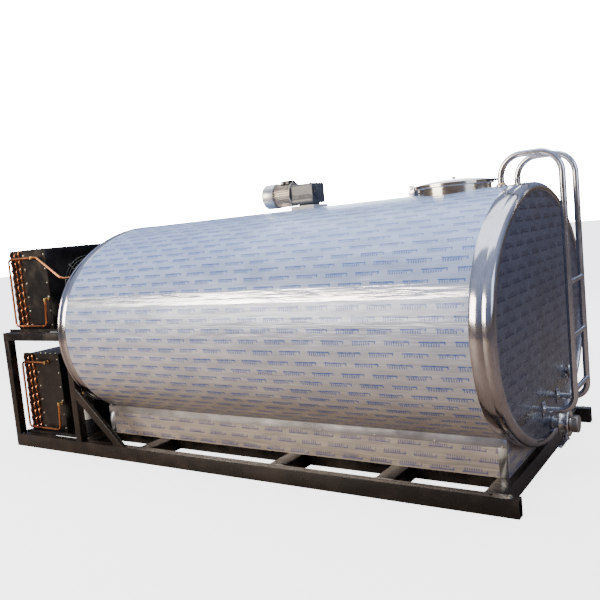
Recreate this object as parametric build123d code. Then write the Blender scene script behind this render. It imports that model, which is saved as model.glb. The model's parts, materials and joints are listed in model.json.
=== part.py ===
from build123d import *
from math import cos, pi, radians, sin, sqrt
import os

# Bulk milk cooling tank: an oval insulated tank lying on a steel skid, with a
# manway, an agitator drive, a ladder and two condensing units on a rack.
# Millimetres. +X runs along the tank towards the ladder, +Z is up, and the
# origin is on the floor under the middle of the whole machine.

os.makedirs("parts", exist_ok=True)

# ---------------------------------------------------------------- driving sizes
overall_length = 4290          # rack end of the skid to the outside of the ladder

tank_width = 2000              # oval shell, outside
tank_height = 1546
corner_angle = 51              # degrees; where the oval's side arcs meet its crown arcs
tank_length = 3190             # shell sheet, without the rolled ends
ground_clearance = 145         # floor to the underside of the shell

skin = 2                       # outer cladding sheet
insulation_thickness = 58
foam_joint_reach = 60          # foam is poured in bands; this far past the manway's hole
vessel_wall = 3
jacket_depth = 6               # dimpled cooling plate on the vessel's underside
jacket_end_gap = 180
jacket_top_drop = 120          # jacket stops this far below the tank's axis

collar_width = 70              # polished band that laps over the shell's end
collar_lap = 3                 # how far the band stands proud of the shell
rim_depth = 48                 # radial depth of the rolled end ring
front_nose = 55                # how far the ring stands out at the ladder end
rear_nose = 30
nose_radius_share = 0.6        # rounding of the ring, share of its projection
end_recess = 15                # end plate sits this far inside the ring

skid_half_width = 898
skid_overhang = 88             # skid past the shell at the ladder end
rail_width = 60
skid_height = 100
beam_wall = 5
cross_width = 110
cross_places = [-4000, -3250, -2600, -1440, -690, -50]   # from the shell's front edge
stringer_width = 60
stringer_height = 80
stringer_offset = 560
anchor_hole_radius = 9
anchor_inset = 150             # anchor holes from each end of the skid

skirt_half_width = 626
skirt_sheet = 2
skirt_front_gap = 40           # skirt stops short of the shell's front edge
trim_thickness = 1.5
trim_width = 50
saddle_thickness = 12
saddle_half_width = 540

manway_offset = 466            # manway centre behind the shell's front edge
manway_radius = 225
manway_wall = 3
manway_height = 35             # neck above the crown of the shell
neck_flange_radius = 236
gasket_height = 6
lid_radius = 243
lid_sheet = 3
lid_dome = 26
lid_skirt = 8                  # lid's turned-down edge, below the gasket's top
moving_gap = 0.3               # clearance between bodies that pass each other
running_gap = 0.05             # radial clearance of pins and shafts
hinge_reach = 29               # hinge pin axis outside the lid's edge
hinge_pin_radius = 6
hinge_half_width = 28
hinge_ear = 8

agitator_offset = 1550         # agitator axis behind the shell's front edge
pedestal_size = 190
pedestal_height = 21           # above the crown of the shell
nozzle_radius = 45
nozzle_wall = 3
shaft_radius = 15
shaft_floor_gap = 110          # blades above the vessel's floor
blade_reach = 260
blade_height = 90
blade_sheet = 5
gear_flange_radius = 74
gear_flange_thickness = 10
bolt_circle_radius = 60
bolt_radius = 5
gear_length = 180
gear_width = 160
gear_height = 138
gear_wall = 10
motor_side_offset = 50         # motor axis beside the agitator axis
motor_axis_rise = 88           # motor axis above the pedestal
motor_shaft_radius = 12
worm_radius = 15
worm_length = 70
wheel_thickness = 24
motor_length = 138
motor_body_radius = 70
motor_fin_radius = 84
motor_fin_count = 32
terminal_rise = 98             # top of the terminal box above the motor's axis
motor_fin_width = 3
shield_thickness = 12
rotor_radius = 44
rotor_gap = 1
cowl_length = 98
cowl_radius = 88
cowl_sheet = 2

ladder_standoff = 221          # ladder plane in front of the shell's front edge
ladder_half_spacing = 165
ladder_tube = 38
rung_tube = 30
rung_heights = [488, 798, 1108]
hoop_height = 1853             # centre line of the hand hoops
hoop_foot_setback = 120        # hoop feet behind the shell's front edge
hoop_bend = 125
foot_radius = 34
foot_bend = 90
foot_height = 368              # where the ladder turns in to the end plate
foot_plate = 6

outlet_bore_radius = 30
outlet_wall = 1.5
outlet_rise = 3                # weld room between the pipe and the vessel's floor
boss_radius = 42
boss_length = 20
valve_gap = 30                 # bare pipe between the end plate's boss and the valve
valve_length = 60
valve_radius = 78
disc_thickness = 5
disc_gap = 0.5
stem_radius = 6
lever_length = 150
lever_width = 26
lever_thickness = 10
cap_radius = 52
cap_length = 42

dial_side = 450                # thermometer, to the far side of the end plate
dial_drop = 460                # and below the tank's axis
dial_radius = 50
dial_depth = 40
dial_wall = 3
pocket_radius = 16

post_size = 60
rack_height = 940              # top of the rack that carries the upper unit
rack_depth = 820               # rack along X, outside
brace_rise = 415               # where the brace meets the post, above the skid
brace_run = 400
brace_width = 66
brace_depth = 30               # brace plate, flush with the post's outer face
tray_sheet = 4
unit_half_width = 780
coil_setback = 65              # coil behind the rack's outer face
coil_depth = 160
coil_height = 650
shroud_depth = 290
shroud_sheet = 3
fan_spread = 390               # fans each side of the machine's middle
fan_opening = 235
fan_radius = 225
fan_blades = 5
hub_radius = 62
hub_length = 50
fan_inset = 12                 # fan hub behind the shroud's outlet face
fan_motor_radius = 55
fan_motor_length = 100
fan_shaft_radius = 8
motor_bar_width = 36
motor_bar_thickness = 6
bend_pitch = 64                # return bends, one above the other
bend_tube = 5
bend_radius = 16
bend_rows = 10
bend_columns = 3
can_radius = 100               # hermetic compressor
can_height = 340
can_side = -300                # compressor towards the near side
can_gap = 35                   # compressor's skin behind the shroud's outlet face
receiver_radius = 60
receiver_height = 330
receiver_side = -690
copper_radius = 9
pipe_standoff = 36             # copper in front of the unit's near face

box_length = 400               # control box on the far side of the rack
box_height = 420
box_depth = 78
box_sheet = 2
door_thickness = 10
knob_length = 16
door_hinge_radius = 5

# ------------------------------------------------------------- derived positions
half_width = tank_width / 2
half_height = tank_height / 2
axis_height = ground_clearance + half_height
corner = radians(corner_angle)
arc_span = (half_width - half_height) / (cos(corner) + sin(corner) - 1)
side_centre = arc_span * cos(corner)
crown_centre = arc_span * sin(corner)
side_radius = half_width - side_centre
crown_radius = side_radius + arc_span
crown = axis_height + half_height
skid_start = -overall_length / 2
ladder_x = overall_length / 2 - ladder_tube / 2
front_x = ladder_x - ladder_standoff
rear_x = front_x - tank_length
skid_end = front_x + skid_overhang
cross_x = [front_x + place for place in cross_places]
rail_y = skid_half_width - rail_width / 2
cross_half = skid_half_width - rail_width

vessel_inset = skin + insulation_thickness
vessel_inner_inset = vessel_inset + vessel_wall
vessel_floor = axis_height - half_height + vessel_inner_inset
vessel_crown = axis_height + half_height - vessel_inner_inset
end_face_x = front_x + front_nose - end_recess
rear_face_x = rear_x - rear_nose + end_recess

manway_x = front_x - manway_offset
neck_top = crown + manway_height
gasket_top = neck_top + gasket_height
lid_seat = gasket_top + moving_gap
hinge_x = manway_x - lid_radius - hinge_reach
hinge_z = lid_seat + 6

agitator_x = front_x - agitator_offset
pedestal_top = crown + pedestal_height
motor_y = -motor_side_offset
motor_z = pedestal_top + motor_axis_rise
gear_x0 = agitator_x - 75
gear_x1 = gear_x0 + gear_length
motor_x1 = gear_x0 - shield_thickness
motor_x0 = motor_x1 - motor_length
cowl_x0 = motor_x0 + 6 - cowl_length

outlet_radius = outlet_bore_radius + outlet_wall
outlet_z = vessel_floor + outlet_radius + outlet_rise
valve_x0 = end_face_x + boss_length + valve_gap
valve_x1 = valve_x0 + valve_length
valve_x = (valve_x0 + valve_x1) / 2
dial_z = axis_height - dial_drop

rack_x0 = skid_start
rack_x1 = rack_x0 + rack_depth
coil_x0 = rack_x0 + coil_setback
coil_x1 = coil_x0 + coil_depth
shroud_x1 = coil_x1 + shroud_depth
tray_tops = {"lower": skid_height + tray_sheet, "upper": rack_height + tray_sheet}


# ----------------------------------------------------------------------- helpers
def block(x, y, z):
    """A box from its (low, high) along each axis."""
    size = [high - low for low, high in (x, y, z)]
    middle = [(high + low) / 2 for low, high in (x, y, z)]
    return Pos(*middle) * Box(*size)


def rod_x(x0, x1, y, z, radius):
    return Pos((x0 + x1) / 2, y, z) * Rot(0, 90, 0) * Cylinder(radius, x1 - x0)


def rod_y(y0, y1, x, z, radius):
    return Pos(x, (y0 + y1) / 2, z) * Rot(90, 0, 0) * Cylinder(radius, y1 - y0)


def rod_z(z0, z1, x, y, radius):
    return Pos(x, y, (z0 + z1) / 2) * Cylinder(radius, z1 - z0)


def tube_x(x0, x1, y, z, outer, inner):
    return rod_x(x0, x1, y, z, outer) - rod_x(x0 - 1, x1 + 1, y, z, inner)


def tube_z(z0, z1, x, y, outer, inner):
    return rod_z(z0, z1, x, y, outer) - rod_z(z0 - 1, z1 + 1, x, y, inner)


def beam_x(x0, x1, y, z, wall):
    """Square tube along X; y and z are (low, high)."""
    inner_y = (y[0] + wall, y[1] - wall)
    inner_z = (z[0] + wall, z[1] - wall)
    return block((x0, x1), y, z) - block((x0 - 1, x1 + 1), inner_y, inner_z)


def beam_y(y0, y1, x, z, wall):
    """Square tube along Y; x and z are (low, high)."""
    inner_x = (x[0] + wall, x[1] - wall)
    inner_z = (z[0] + wall, z[1] - wall)
    return block(x, (y0, y1), z) - block(inner_x, (y0 - 1, y1 + 1), inner_z)


def oval(x0, x1, inset=0):
    """The tank's four-arc oval between two stations, drawn in by inset."""
    plane = Plane(origin=(x0, 0, axis_height), x_dir=(0, 1, 0), z_dir=(1, 0, 0))
    side = side_radius - inset
    y = side_centre + side * cos(corner)
    z = side * sin(corner)
    edge = ThreePointArc((y, -z), (half_width - inset, 0), (y, z))
    edge += ThreePointArc((y, z), (0, half_height - inset), (-y, z))
    edge += ThreePointArc((-y, z), (inset - half_width, 0), (-y, -z))
    edge += ThreePointArc((-y, -z), (0, inset - half_height), (y, -z))
    return extrude(plane * make_face(edge), x1 - x0)


def crown_rise(y):
    """Height of the shell's crown arc above the tank's axis, y from its middle."""
    return sqrt(crown_radius ** 2 - y ** 2) - crown_centre


def oval_ring(x0, x1, outer_inset, inner_inset):
    return oval(x0, x1, outer_inset) - oval(x0 - 1, x1 + 1, inner_inset)


def bent_pipe(points, bends, radius):
    """A pipe along straight runs joined by tangent arcs."""
    path = FilletPolyline(*points, radius=bends) if bends else Polyline(*points)
    start = Plane(origin=path @ 0, z_dir=path % 0)
    return sweep(start * Circle(radius), path)


def save(name, *pieces):
    """Write one sub-part, all its solids in one file."""
    solids = []
    for piece in pieces:
        solids.extend(piece.solids())
    shape = solids[0] if len(solids) == 1 else Compound(solids)
    export_step(shape, f"parts/{name}.step")


# -------------------------------------------------------------------------- skid
def skid():
    rails = []
    hole_places = (skid_start + anchor_inset, skid_end - anchor_inset)
    for side in (-1, 1):
        low = side * rail_y - rail_width / 2
        rail = beam_x(skid_start, skid_end, (low, low + rail_width), (0, skid_height), beam_wall)
        for x in hole_places:
            rail -= rod_z(-1, skid_height + 1, x, side * rail_y, anchor_hole_radius)
        rails.append(rail)
    save("skid_rails", *rails)

    members = []
    for x in cross_x:
        width = (max(x - cross_width / 2, skid_start), x + cross_width / 2)
        members.append(beam_y(-cross_half, cross_half, width, (0, skid_height), beam_wall))
    for first, second in zip(cross_x[1:], cross_x[2:]):
        x0 = first + cross_width / 2
        x1 = second - cross_width / 2
        z = (skid_height - stringer_height, skid_height)
        for side in (-1, 1):
            low = side * stringer_offset - stringer_width / 2
            members.append(beam_x(x0, x1, (low, low + stringer_width), z, beam_wall))
    save("skid_cross_members", *members)


def saddles():
    plates = []
    shell = oval(rear_x, front_x)
    for x in cross_x[2:5] + [cross_x[5] - cross_width / 4]:
        across = (-saddle_half_width, saddle_half_width)
        middle = (x - saddle_thickness / 2, x + saddle_thickness / 2)
        plates.append(block(middle, across, (skid_height, axis_height - half_height / 2)) - shell)
    save("tank_saddles", *plates)


def skirt():
    x0 = rear_x
    x1 = front_x - skirt_front_gap
    high = axis_height
    shell = tank_outside()
    panels = []
    for side in (-1, 1):
        inner = side * (skirt_half_width - skirt_sheet)
        outer = side * skirt_half_width
        across = (min(inner, outer), max(inner, outer))
        panels.append(block((x0, x1), across, (skid_height, high)) - shell)
    for low, end in ((x0, x0 + skirt_sheet), (x1 - skirt_sheet, x1)):
        across = (skirt_sheet - skirt_half_width, skirt_half_width - skirt_sheet)
        panels.append(block((low, end), across, (skid_height, high)) - shell)
    panels = [max(panel.solids(), key=lambda s: -s.center().Z) for panel in panels]
    save("skirt_panels", *panels)

    strips = []
    joint_z = axis_height - crown_rise(skirt_half_width)
    for side in (-1, 1):
        inner = side * skirt_half_width
        outer = side * (skirt_half_width + trim_thickness)
        across = (min(inner, outer), max(inner, outer))
        top = block((x0, x1), across, (joint_z - trim_width, joint_z + trim_width)) - shell
        strips.append(max(top.solids(), key=lambda s: -s.center().Z))
        strips.append(block((x1 - trim_width, x1), across, (skid_height, joint_z - trim_width)))
        strips.append(block((x0, x0 + trim_width), across, (skid_height, joint_z - trim_width)))
    save("skirt_trim", *strips)


# -------------------------------------------------------------------------- tank
def tank_outside():
    """The whole outer form of the shell with its two lapping collars."""
    form = oval(rear_x, front_x)
    form += oval(front_x - collar_width, front_x + front_nose, -collar_lap)
    return form + oval(rear_x - rear_nose, rear_x + collar_width, -collar_lap)


def end_ring(front):
    """Rolled end ring: a collar lapping the shell and a rounded nose."""
    if front:
        x0, x1, lap_x0, lap_x1 = front_x, front_x + front_nose, front_x - collar_width, front_x
        nose = front_nose
    else:
        x0, x1, lap_x0, lap_x1 = rear_x - rear_nose, rear_x, rear_x, rear_x + collar_width
        nose = rear_nose
    ring = oval_ring(x0, x1, -collar_lap, rim_depth)
    outside = ring.faces().sort_by(Axis.X)[-1 if front else 0].outer_wire().edges()
    ring = fillet(outside, nose * nose_radius_share)
    return ring + oval_ring(lap_x0, lap_x1, -collar_lap, 0)


def top_holes(radius_manway, radius_agitator):
    """Cutters for the openings in the crown of the tank."""
    manway = rod_z(axis_height, crown + 50, manway_x, 0, radius_manway)
    agitator = rod_z(axis_height, crown + 50, agitator_x, 0, radius_agitator)
    return manway + agitator


def tank():
    holes = top_holes(manway_radius, nozzle_radius)
    wall_x = front_x - vessel_inset
    front_holes = rod_x(wall_x - vessel_wall, end_face_x + 1, 0, outlet_z, outlet_radius)
    dial_hole = rod_x(wall_x, end_face_x + 1, dial_side, dial_z, pocket_radius)

    save("outer_shell", oval_ring(rear_x, front_x, 0, skin) - holes)
    save("front_rim", end_ring(True))
    save("rear_rim", end_ring(False))
    front_plate = oval(end_face_x - skin, end_face_x, rim_depth) - front_holes - dial_hole
    save("front_end_plate", front_plate)
    save("rear_end_plate", oval(rear_face_x, rear_face_x + skin, rim_depth))

    vessel_x0 = rear_x + vessel_inset
    vessel_x1 = front_x - vessel_inset
    vessel = oval(vessel_x0, vessel_x1, vessel_inset)
    cavity = oval(vessel_x0 + vessel_wall, vessel_x1 - vessel_wall, vessel_inner_inset)
    jacket_zone = block(
        (vessel_x0 + jacket_end_gap, vessel_x1 - jacket_end_gap),
        (-tank_width, tank_width),
        (0, axis_height - jacket_top_drop),
    )
    jacket = oval_ring(vessel_x0, vessel_x1, vessel_inset - jacket_depth, vessel_inset)
    jacket = jacket & jacket_zone

    foam = oval(rear_x, front_x, skin)
    foam += oval(front_x, end_face_x - skin, rim_depth)
    foam += oval(rear_face_x + skin, rear_x, rim_depth)
    foam = foam - vessel - jacket - holes - front_holes - dial_hole
    reach = manway_radius + foam_joint_reach
    joints = [rear_face_x, vessel_x0, manway_x - reach, manway_x + reach, vessel_x1, end_face_x]
    wide = (-tank_width, tank_width)
    pours = [foam & block(band, wide, (0, tank_height * 2)) for band in zip(joints, joints[1:])]
    save("insulation", *pours)
    save("inner_vessel", vessel - cavity - holes - front_holes)
    save("evaporator_jacket", jacket)


# ------------------------------------------------------------------------ manway
def domed_drum(z0, z1, radius, rise):
    """An upright drum over the manway whose top swells by rise above z1."""
    ball = (radius ** 2 + rise ** 2) / (2 * rise)
    drum = rod_z(z0, z1 + rise, manway_x, 0, radius)
    return drum & (Pos(manway_x, 0, z1 + rise - ball) * Sphere(ball))


def manway():
    cavity = oval(rear_x, front_x, vessel_inner_inset)
    bore = manway_radius - manway_wall
    neck = tube_z(vessel_crown - 60, neck_top, manway_x, 0, manway_radius, bore) - cavity
    lip_z = neck_top - 6
    neck += tube_z(lip_z, neck_top, manway_x, 0, neck_flange_radius, bore)
    save("manway_neck", neck)
    gasket = tube_z(neck_top, gasket_top, manway_x, 0, neck_flange_radius, bore)
    save("manway_gasket", gasket)

    seat_inner = bore + 2
    seat_thickness = 7
    edge_z = lid_seat + seat_thickness + lid_sheet
    skirt_z = gasket_top - lid_skirt
    lid = domed_drum(skirt_z, edge_z, lid_radius, lid_dome)
    lid = lid - rod_z(skirt_z - 1, lid_seat, manway_x, 0, lid_radius - lid_sheet)
    lid = lid - domed_drum(skirt_z - 1, lid_seat + seat_thickness, seat_inner, lid_dome)
    arm_z = (hinge_z - 4, hinge_z + 4)
    arm = block((hinge_x, manway_x - lid_radius + 5), (-hinge_half_width, hinge_half_width), arm_z)
    barrel = rod_y(-hinge_half_width, hinge_half_width, hinge_x, hinge_z, hinge_pin_radius + 4)
    lid = lid + arm + barrel
    lid -= rod_y(-50, 50, hinge_x, hinge_z, hinge_pin_radius + running_gap)
    save("manway_lid", lid)

    grip_x = manway_x + lid_radius + 24
    grip_z = lid_seat + 4
    handle = rod_y(-55, 55, grip_x, grip_z, 6)
    for y in (-48, 48):
        handle += rod_x(manway_x + lid_radius - 20, grip_x, y, grip_z, 6)
    save("lid_handle", handle - lid - rod_z(grip_z - 20, grip_z + 5, manway_x, 0, lid_radius - 1))

    vent_z = edge_z + lid_dome
    vent = rod_z(vent_z - 1, vent_z + 9, manway_x, 0, 9) + rod_z(vent_z + 5, vent_z + 14, manway_x, 0, 15)
    save("lid_vent", vent - lid)

    shell = oval(rear_x, front_x)
    ear_inner = hinge_half_width + moving_gap
    ear_outer = ear_inner + hinge_ear
    bracket = block((hinge_x - 24, hinge_x - 18), (-ear_outer, ear_outer), (crown - 40, hinge_z + 20))
    for side in (-1, 1):
        across = (min(side * ear_inner, side * ear_outer), max(side * ear_inner, side * ear_outer))
        bracket += block((hinge_x - 20, hinge_x + 14), across, (crown - 40, hinge_z + 14))
    bracket -= rod_y(-60, 60, hinge_x, hinge_z, hinge_pin_radius)
    save("lid_hinge_bracket", bracket - shell)
    pin = rod_y(-ear_outer, ear_outer, hinge_x, hinge_z, hinge_pin_radius)
    for side in (-1, 1):
        ends = sorted((side * ear_outer, side * (ear_outer + 4)))
        pin += rod_y(ends[0], ends[1], hinge_x, hinge_z, hinge_pin_radius + 3)
    save("lid_hinge_pin", pin)


# --------------------------------------------------------------- agitator drive
def bolt_places():
    reach = bolt_circle_radius / sqrt(2)
    return [(agitator_x + i * reach, j * reach) for i in (-1, 1) for j in (-1, 1)]


def agitator_mounting():
    shell = oval(rear_x, front_x)
    cavity = oval(rear_x, front_x, vessel_inner_inset)
    half = pedestal_size / 2
    pedestal = block(
        (agitator_x - half, agitator_x + half), (-half, half), (crown - 40, pedestal_top)
    ) - shell
    pedestal += rod_z(vessel_crown - 20, pedestal_top, agitator_x, 0, nozzle_radius) - cavity
    pedestal -= rod_z(vessel_crown - 60, pedestal_top + 1, agitator_x, 0, nozzle_radius - nozzle_wall)
    for x, y in bolt_places():
        pedestal -= rod_z(pedestal_top - 14, pedestal_top + 1, x, y, bolt_radius)
    save("agitator_nozzle", pedestal)

    bolts = []
    head_z = pedestal_top + gear_flange_thickness
    for x, y in bolt_places():
        head = extrude(Pos(x, y, head_z) * RegularPolygon(9, 6), 6.5)
        bolts.append(head + rod_z(pedestal_top - 13, head_z, x, y, bolt_radius))
    save("nozzle_bolts", *bolts)
    seal_top = pedestal_top - 2
    seal = tube_z(seal_top - 18, seal_top, agitator_x, 0, nozzle_radius - nozzle_wall,
                  shaft_radius + running_gap)
    save("shaft_seal", seal)


def gearbox():
    y0 = motor_y - gear_width / 2 + 15
    y1 = y0 + gear_width
    z0 = pedestal_top + gear_flange_thickness
    z1 = z0 + gear_height
    body = block((gear_x0, gear_x1), (y0, y1), (z0, z1))
    body = fillet(body.edges().filter_by(Axis.X), 14)
    body += rod_z(pedestal_top, z0, agitator_x, 0, gear_flange_radius)
    inner_x = (gear_x0 + gear_wall, gear_x1 - gear_wall)
    inner_y = (y0 + gear_wall, y1 - gear_wall)
    body -= block(inner_x, inner_y, (z0 + gear_wall, z1 - gear_wall))
    body -= rod_z(pedestal_top - 1, motor_z, agitator_x, 0, shaft_radius + running_gap)
    body -= rod_x(gear_x0 - 1, agitator_x, motor_y, motor_z, motor_shaft_radius + 6)
    body -= rod_x(agitator_x, gear_x1 + 1, motor_y, motor_z, motor_shaft_radius + running_gap)
    for x, y in bolt_places():
        body -= rod_z(z0, z0 + 8, x, y, 11)
        body -= rod_z(pedestal_top - 1, z0 + 1, x, y, bolt_radius)
    for side_y in (y0, y1):
        body -= block((gear_x0 + 25, gear_x1 - 25), (side_y - 4, side_y + 4), (z0 + 30, z0 + 34))
    save("gearbox_housing", body)
    cover = rod_x(gear_x1, gear_x1 + 8, motor_y, motor_z, 46)
    cover += rod_x(gear_x1 + 8, gear_x1 + 14, motor_y, motor_z, 30)
    for turn in range(6):
        angle = radians(60 * turn)
        place = (motor_y + 38 * cos(angle), motor_z + 38 * sin(angle))
        cover += rod_x(gear_x1 + 8, gear_x1 + 12, place[0], place[1], 4)
    save("gearbox_cover", cover)


def motor():
    body = rod_x(motor_x0, motor_x1, motor_y, motor_z, motor_body_radius)
    fin = block((motor_x0 + 6, motor_x1), (-motor_fin_width / 2, motor_fin_width / 2),
                (motor_body_radius - 4, motor_fin_radius))
    for turn in range(motor_fin_count):
        angle = 360 * (turn + 0.5) / motor_fin_count
        body += Pos(0, motor_y, motor_z) * Rot(angle, 0, 0) * fin
    body += rod_x(motor_x0, motor_x0 + 6, motor_y, motor_z, cowl_radius - cowl_sheet)
    shield = rod_x(motor_x1, gear_x0, motor_y, motor_z, motor_fin_radius)
    body += shield
    body -= rod_x(motor_x0 + 8, motor_x1, motor_y, motor_z, rotor_radius + rotor_gap)
    body -= rod_x(motor_x0 - 1, gear_x0 + 1, motor_y, motor_z, motor_shaft_radius + running_gap)
    box_x = (motor_x0 + 55, motor_x1 - 6)
    box_y = (motor_y - 45, motor_y + 45)
    box_z = (motor_z + motor_body_radius - 3, motor_z + terminal_rise)
    body -= block(box_x, box_y, box_z)
    save("motor_frame", body)
    box = block(box_x, box_y, box_z)
    box = fillet(box.edges().filter_by(Axis.Z), 8)
    groove = block((box_x[0] - 1, box_x[1] + 1), (box_y[0] - 1, box_y[1] + 1),
                   (box_z[1] - 12, box_z[1] - 10))
    groove -= block((box_x[0] + 2, box_x[1] - 2), (box_y[0] + 2, box_y[1] - 2),
                    (box_z[1] - 13, box_z[1] - 9))
    save("terminal_box", box - groove)

    cowl_x1 = cowl_x0 + cowl_length
    inner = cowl_radius - cowl_sheet
    cowl = rod_x(cowl_x0, cowl_x1, motor_y, motor_z, cowl_radius)
    cowl = fillet(cowl.edges().sort_by(Axis.X)[0], 14)
    hollow = rod_x(cowl_x0 + cowl_sheet, cowl_x1 + 1, motor_y, motor_z, inner)
    cowl -= fillet(hollow.edges().sort_by(Axis.X)[0], 14 - cowl_sheet)
    for ring, count in ((28, 8), (46, 14), (64, 20)):
        for turn in range(count):
            angle = 2 * pi * turn / count
            y = motor_y + ring * cos(angle)
            z = motor_z + ring * sin(angle)
            cowl -= rod_x(cowl_x0 - 1, cowl_x0 + 4, y, z, 6)
    save("fan_cowl", cowl)

    shaft_end = gear_x1 - 2
    rotor = rod_x(cowl_x0 + 22, shaft_end, motor_y, motor_z, motor_shaft_radius)
    rotor += rod_x(motor_x0 + 16, motor_x1 - 10, motor_y, motor_z, rotor_radius)
    rotor += rod_x(agitator_x - worm_length / 2, agitator_x + worm_length / 2,
                   motor_y, motor_z, worm_radius)
    save("motor_rotor", rotor)
    fan_x = (cowl_x0 + 26, cowl_x0 + 66)
    fan = rod_x(fan_x[0], fan_x[1], motor_y, motor_z, 24)
    fan += rod_x(fan_x[1] - 4, fan_x[1], motor_y, motor_z, 72)
    blade = block(fan_x, (-1.5, 1.5), (20, 74))
    for turn in range(8):
        fan += Pos(0, motor_y, motor_z) * Rot(45 * turn, 0, 0) * blade
    save("motor_fan", fan - rod_x(fan_x[0] - 1, fan_x[1] + 1, motor_y, motor_z, motor_shaft_radius))


def agitator():
    wheel_radius = motor_side_offset - worm_radius - moving_gap
    wheel_z = (motor_z - wheel_thickness / 2, motor_z + wheel_thickness / 2)
    save("worm_wheel", tube_z(wheel_z[0], wheel_z[1], agitator_x, 0, wheel_radius, shaft_radius))
    low = vessel_floor + shaft_floor_gap
    shaft = rod_z(low, motor_z + 30, agitator_x, 0, shaft_radius)
    save("agitator_shaft", shaft)
    hub = tube_z(low, low + blade_height, agitator_x, 0, shaft_radius + 12, shaft_radius)
    paddle = Box(blade_reach - shaft_radius - 8, blade_sheet, blade_height)
    paddle = Rot(35, 0, 0) * paddle
    paddle = Pos((blade_reach + shaft_radius + 8) / 2, 0, low + blade_height / 2) * paddle
    for turn in (0, 180):
        hub += Pos(agitator_x, 0, 0) * Rot(0, 0, turn) * paddle
    save("agitator_blades", hub)


# ------------------------------------------------------------------------ ladder
def ladder():
    foot_x = front_x - hoop_foot_setback
    pad_top = axis_height + crown_rise(ladder_half_spacing) + 10
    rails = []
    mounts = []
    shell = oval(rear_x, front_x)
    for side in (-1, 1):
        y = side * ladder_half_spacing
        path = [
            (foot_x, y, pad_top),
            (foot_x, y, hoop_height),
            (ladder_x, y, hoop_height),
            (ladder_x, y, foot_height),
            (end_face_x + foot_plate, y, foot_height),
        ]
        outer = bent_pipe(path, [hoop_bend, hoop_bend, foot_bend], ladder_tube / 2)
        rails.append(outer)
        mounts.append(rod_z(pad_top - 40, pad_top, foot_x, y, foot_radius) - shell)
        plate = block((end_face_x, end_face_x + foot_plate), (y - 30, y + 30),
                      (foot_height - 45, foot_height + 45))
        mounts.append(plate)
    save("ladder_rails", *rails)
    save("ladder_mounts", *mounts)
    rungs = []
    for z in rung_heights:
        rung = rod_y(-ladder_half_spacing, ladder_half_spacing, ladder_x, z, rung_tube / 2)
        for side in (-1, 1):
            rung -= rod_z(z - 50, z + 50, ladder_x, side * ladder_half_spacing, ladder_tube / 2)
        rungs.append(rung)
    save("ladder_rungs", *rungs)


# -------------------------------------------------------- outlet and thermometer
def outlet():
    vessel_x1 = front_x - vessel_inset
    pipe = tube_x(vessel_x1 - vessel_wall, valve_x0, 0, outlet_z, outlet_radius, outlet_bore_radius)
    save("outlet_pipe", pipe)
    boss = tube_x(end_face_x, end_face_x + boss_length, 0, outlet_z, boss_radius, outlet_radius)
    outer_edges = boss.faces().sort_by(Axis.X)[-1].edges().sort_by(SortBy.LENGTH)
    save("outlet_boss", fillet(outer_edges[-1], 5))

    body = rod_x(valve_x0, valve_x1, 0, outlet_z, valve_radius)
    body = fillet(body.edges().filter_by(GeomType.CIRCLE), 6)
    body -= tube_x(valve_x0 + 14, valve_x1 - 14, 0, outlet_z, valve_radius + 1, valve_radius - 14)
    body += rod_z(outlet_z - valve_radius - 12, outlet_z, valve_x, 0, stem_radius + 9)
    stub_end = valve_x1 + 36
    body += rod_x(valve_x1, stub_end, 0, outlet_z, outlet_radius + 3)
    body -= rod_x(valve_x0 - 1, stub_end + 1, 0, outlet_z, outlet_bore_radius)
    body -= rod_z(0, outlet_z, valve_x, 0, stem_radius + running_gap)
    save("valve_body", body)

    disc_radius = outlet_bore_radius - disc_gap
    disc = rod_x(valve_x - disc_thickness / 2, valve_x + disc_thickness / 2, 0, outlet_z, disc_radius)
    disc += rod_z(outlet_z - disc_radius + 2, outlet_z + disc_radius - 2, valve_x, 0, stem_radius)
    lever_top = outlet_z - valve_radius - 12 - moving_gap
    disc += rod_z(lever_top - lever_thickness, outlet_z - disc_radius + 3, valve_x, 0, stem_radius)
    save("valve_disc", disc)
    lever_z = (lever_top - lever_thickness, lever_top)
    across = (valve_x - lever_width / 2, valve_x + lever_width / 2)
    lever = block(across, (-lever_length, 0), lever_z) + rod_z(*lever_z, valve_x, 0, 20)
    lever = lever + rod_z(*lever_z, valve_x, -lever_length, lever_width / 2)
    save("valve_lever", lever - rod_z(0, outlet_z, valve_x, 0, stem_radius))

    thread = outlet_radius + 3
    cap_x = (valve_x1 + 8, valve_x1 + 8 + cap_length)
    cap = rod_x(cap_x[0], cap_x[1], 0, outlet_z, cap_radius)
    cap = fillet(cap.edges().sort_by(Axis.X)[-1], 6)
    for turn in range(4):
        notch = rod_x(cap_x[0] - 1, cap_x[0] + 22, cap_radius + 4, 0, 10)
        cap -= Pos(0, 0, outlet_z) * Rot(90 * turn + 45, 0, 0) * notch
    cap -= rod_x(cap_x[0] - 1, stub_end + moving_gap, 0, outlet_z, thread + moving_gap)
    save("outlet_cap", cap)


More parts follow.
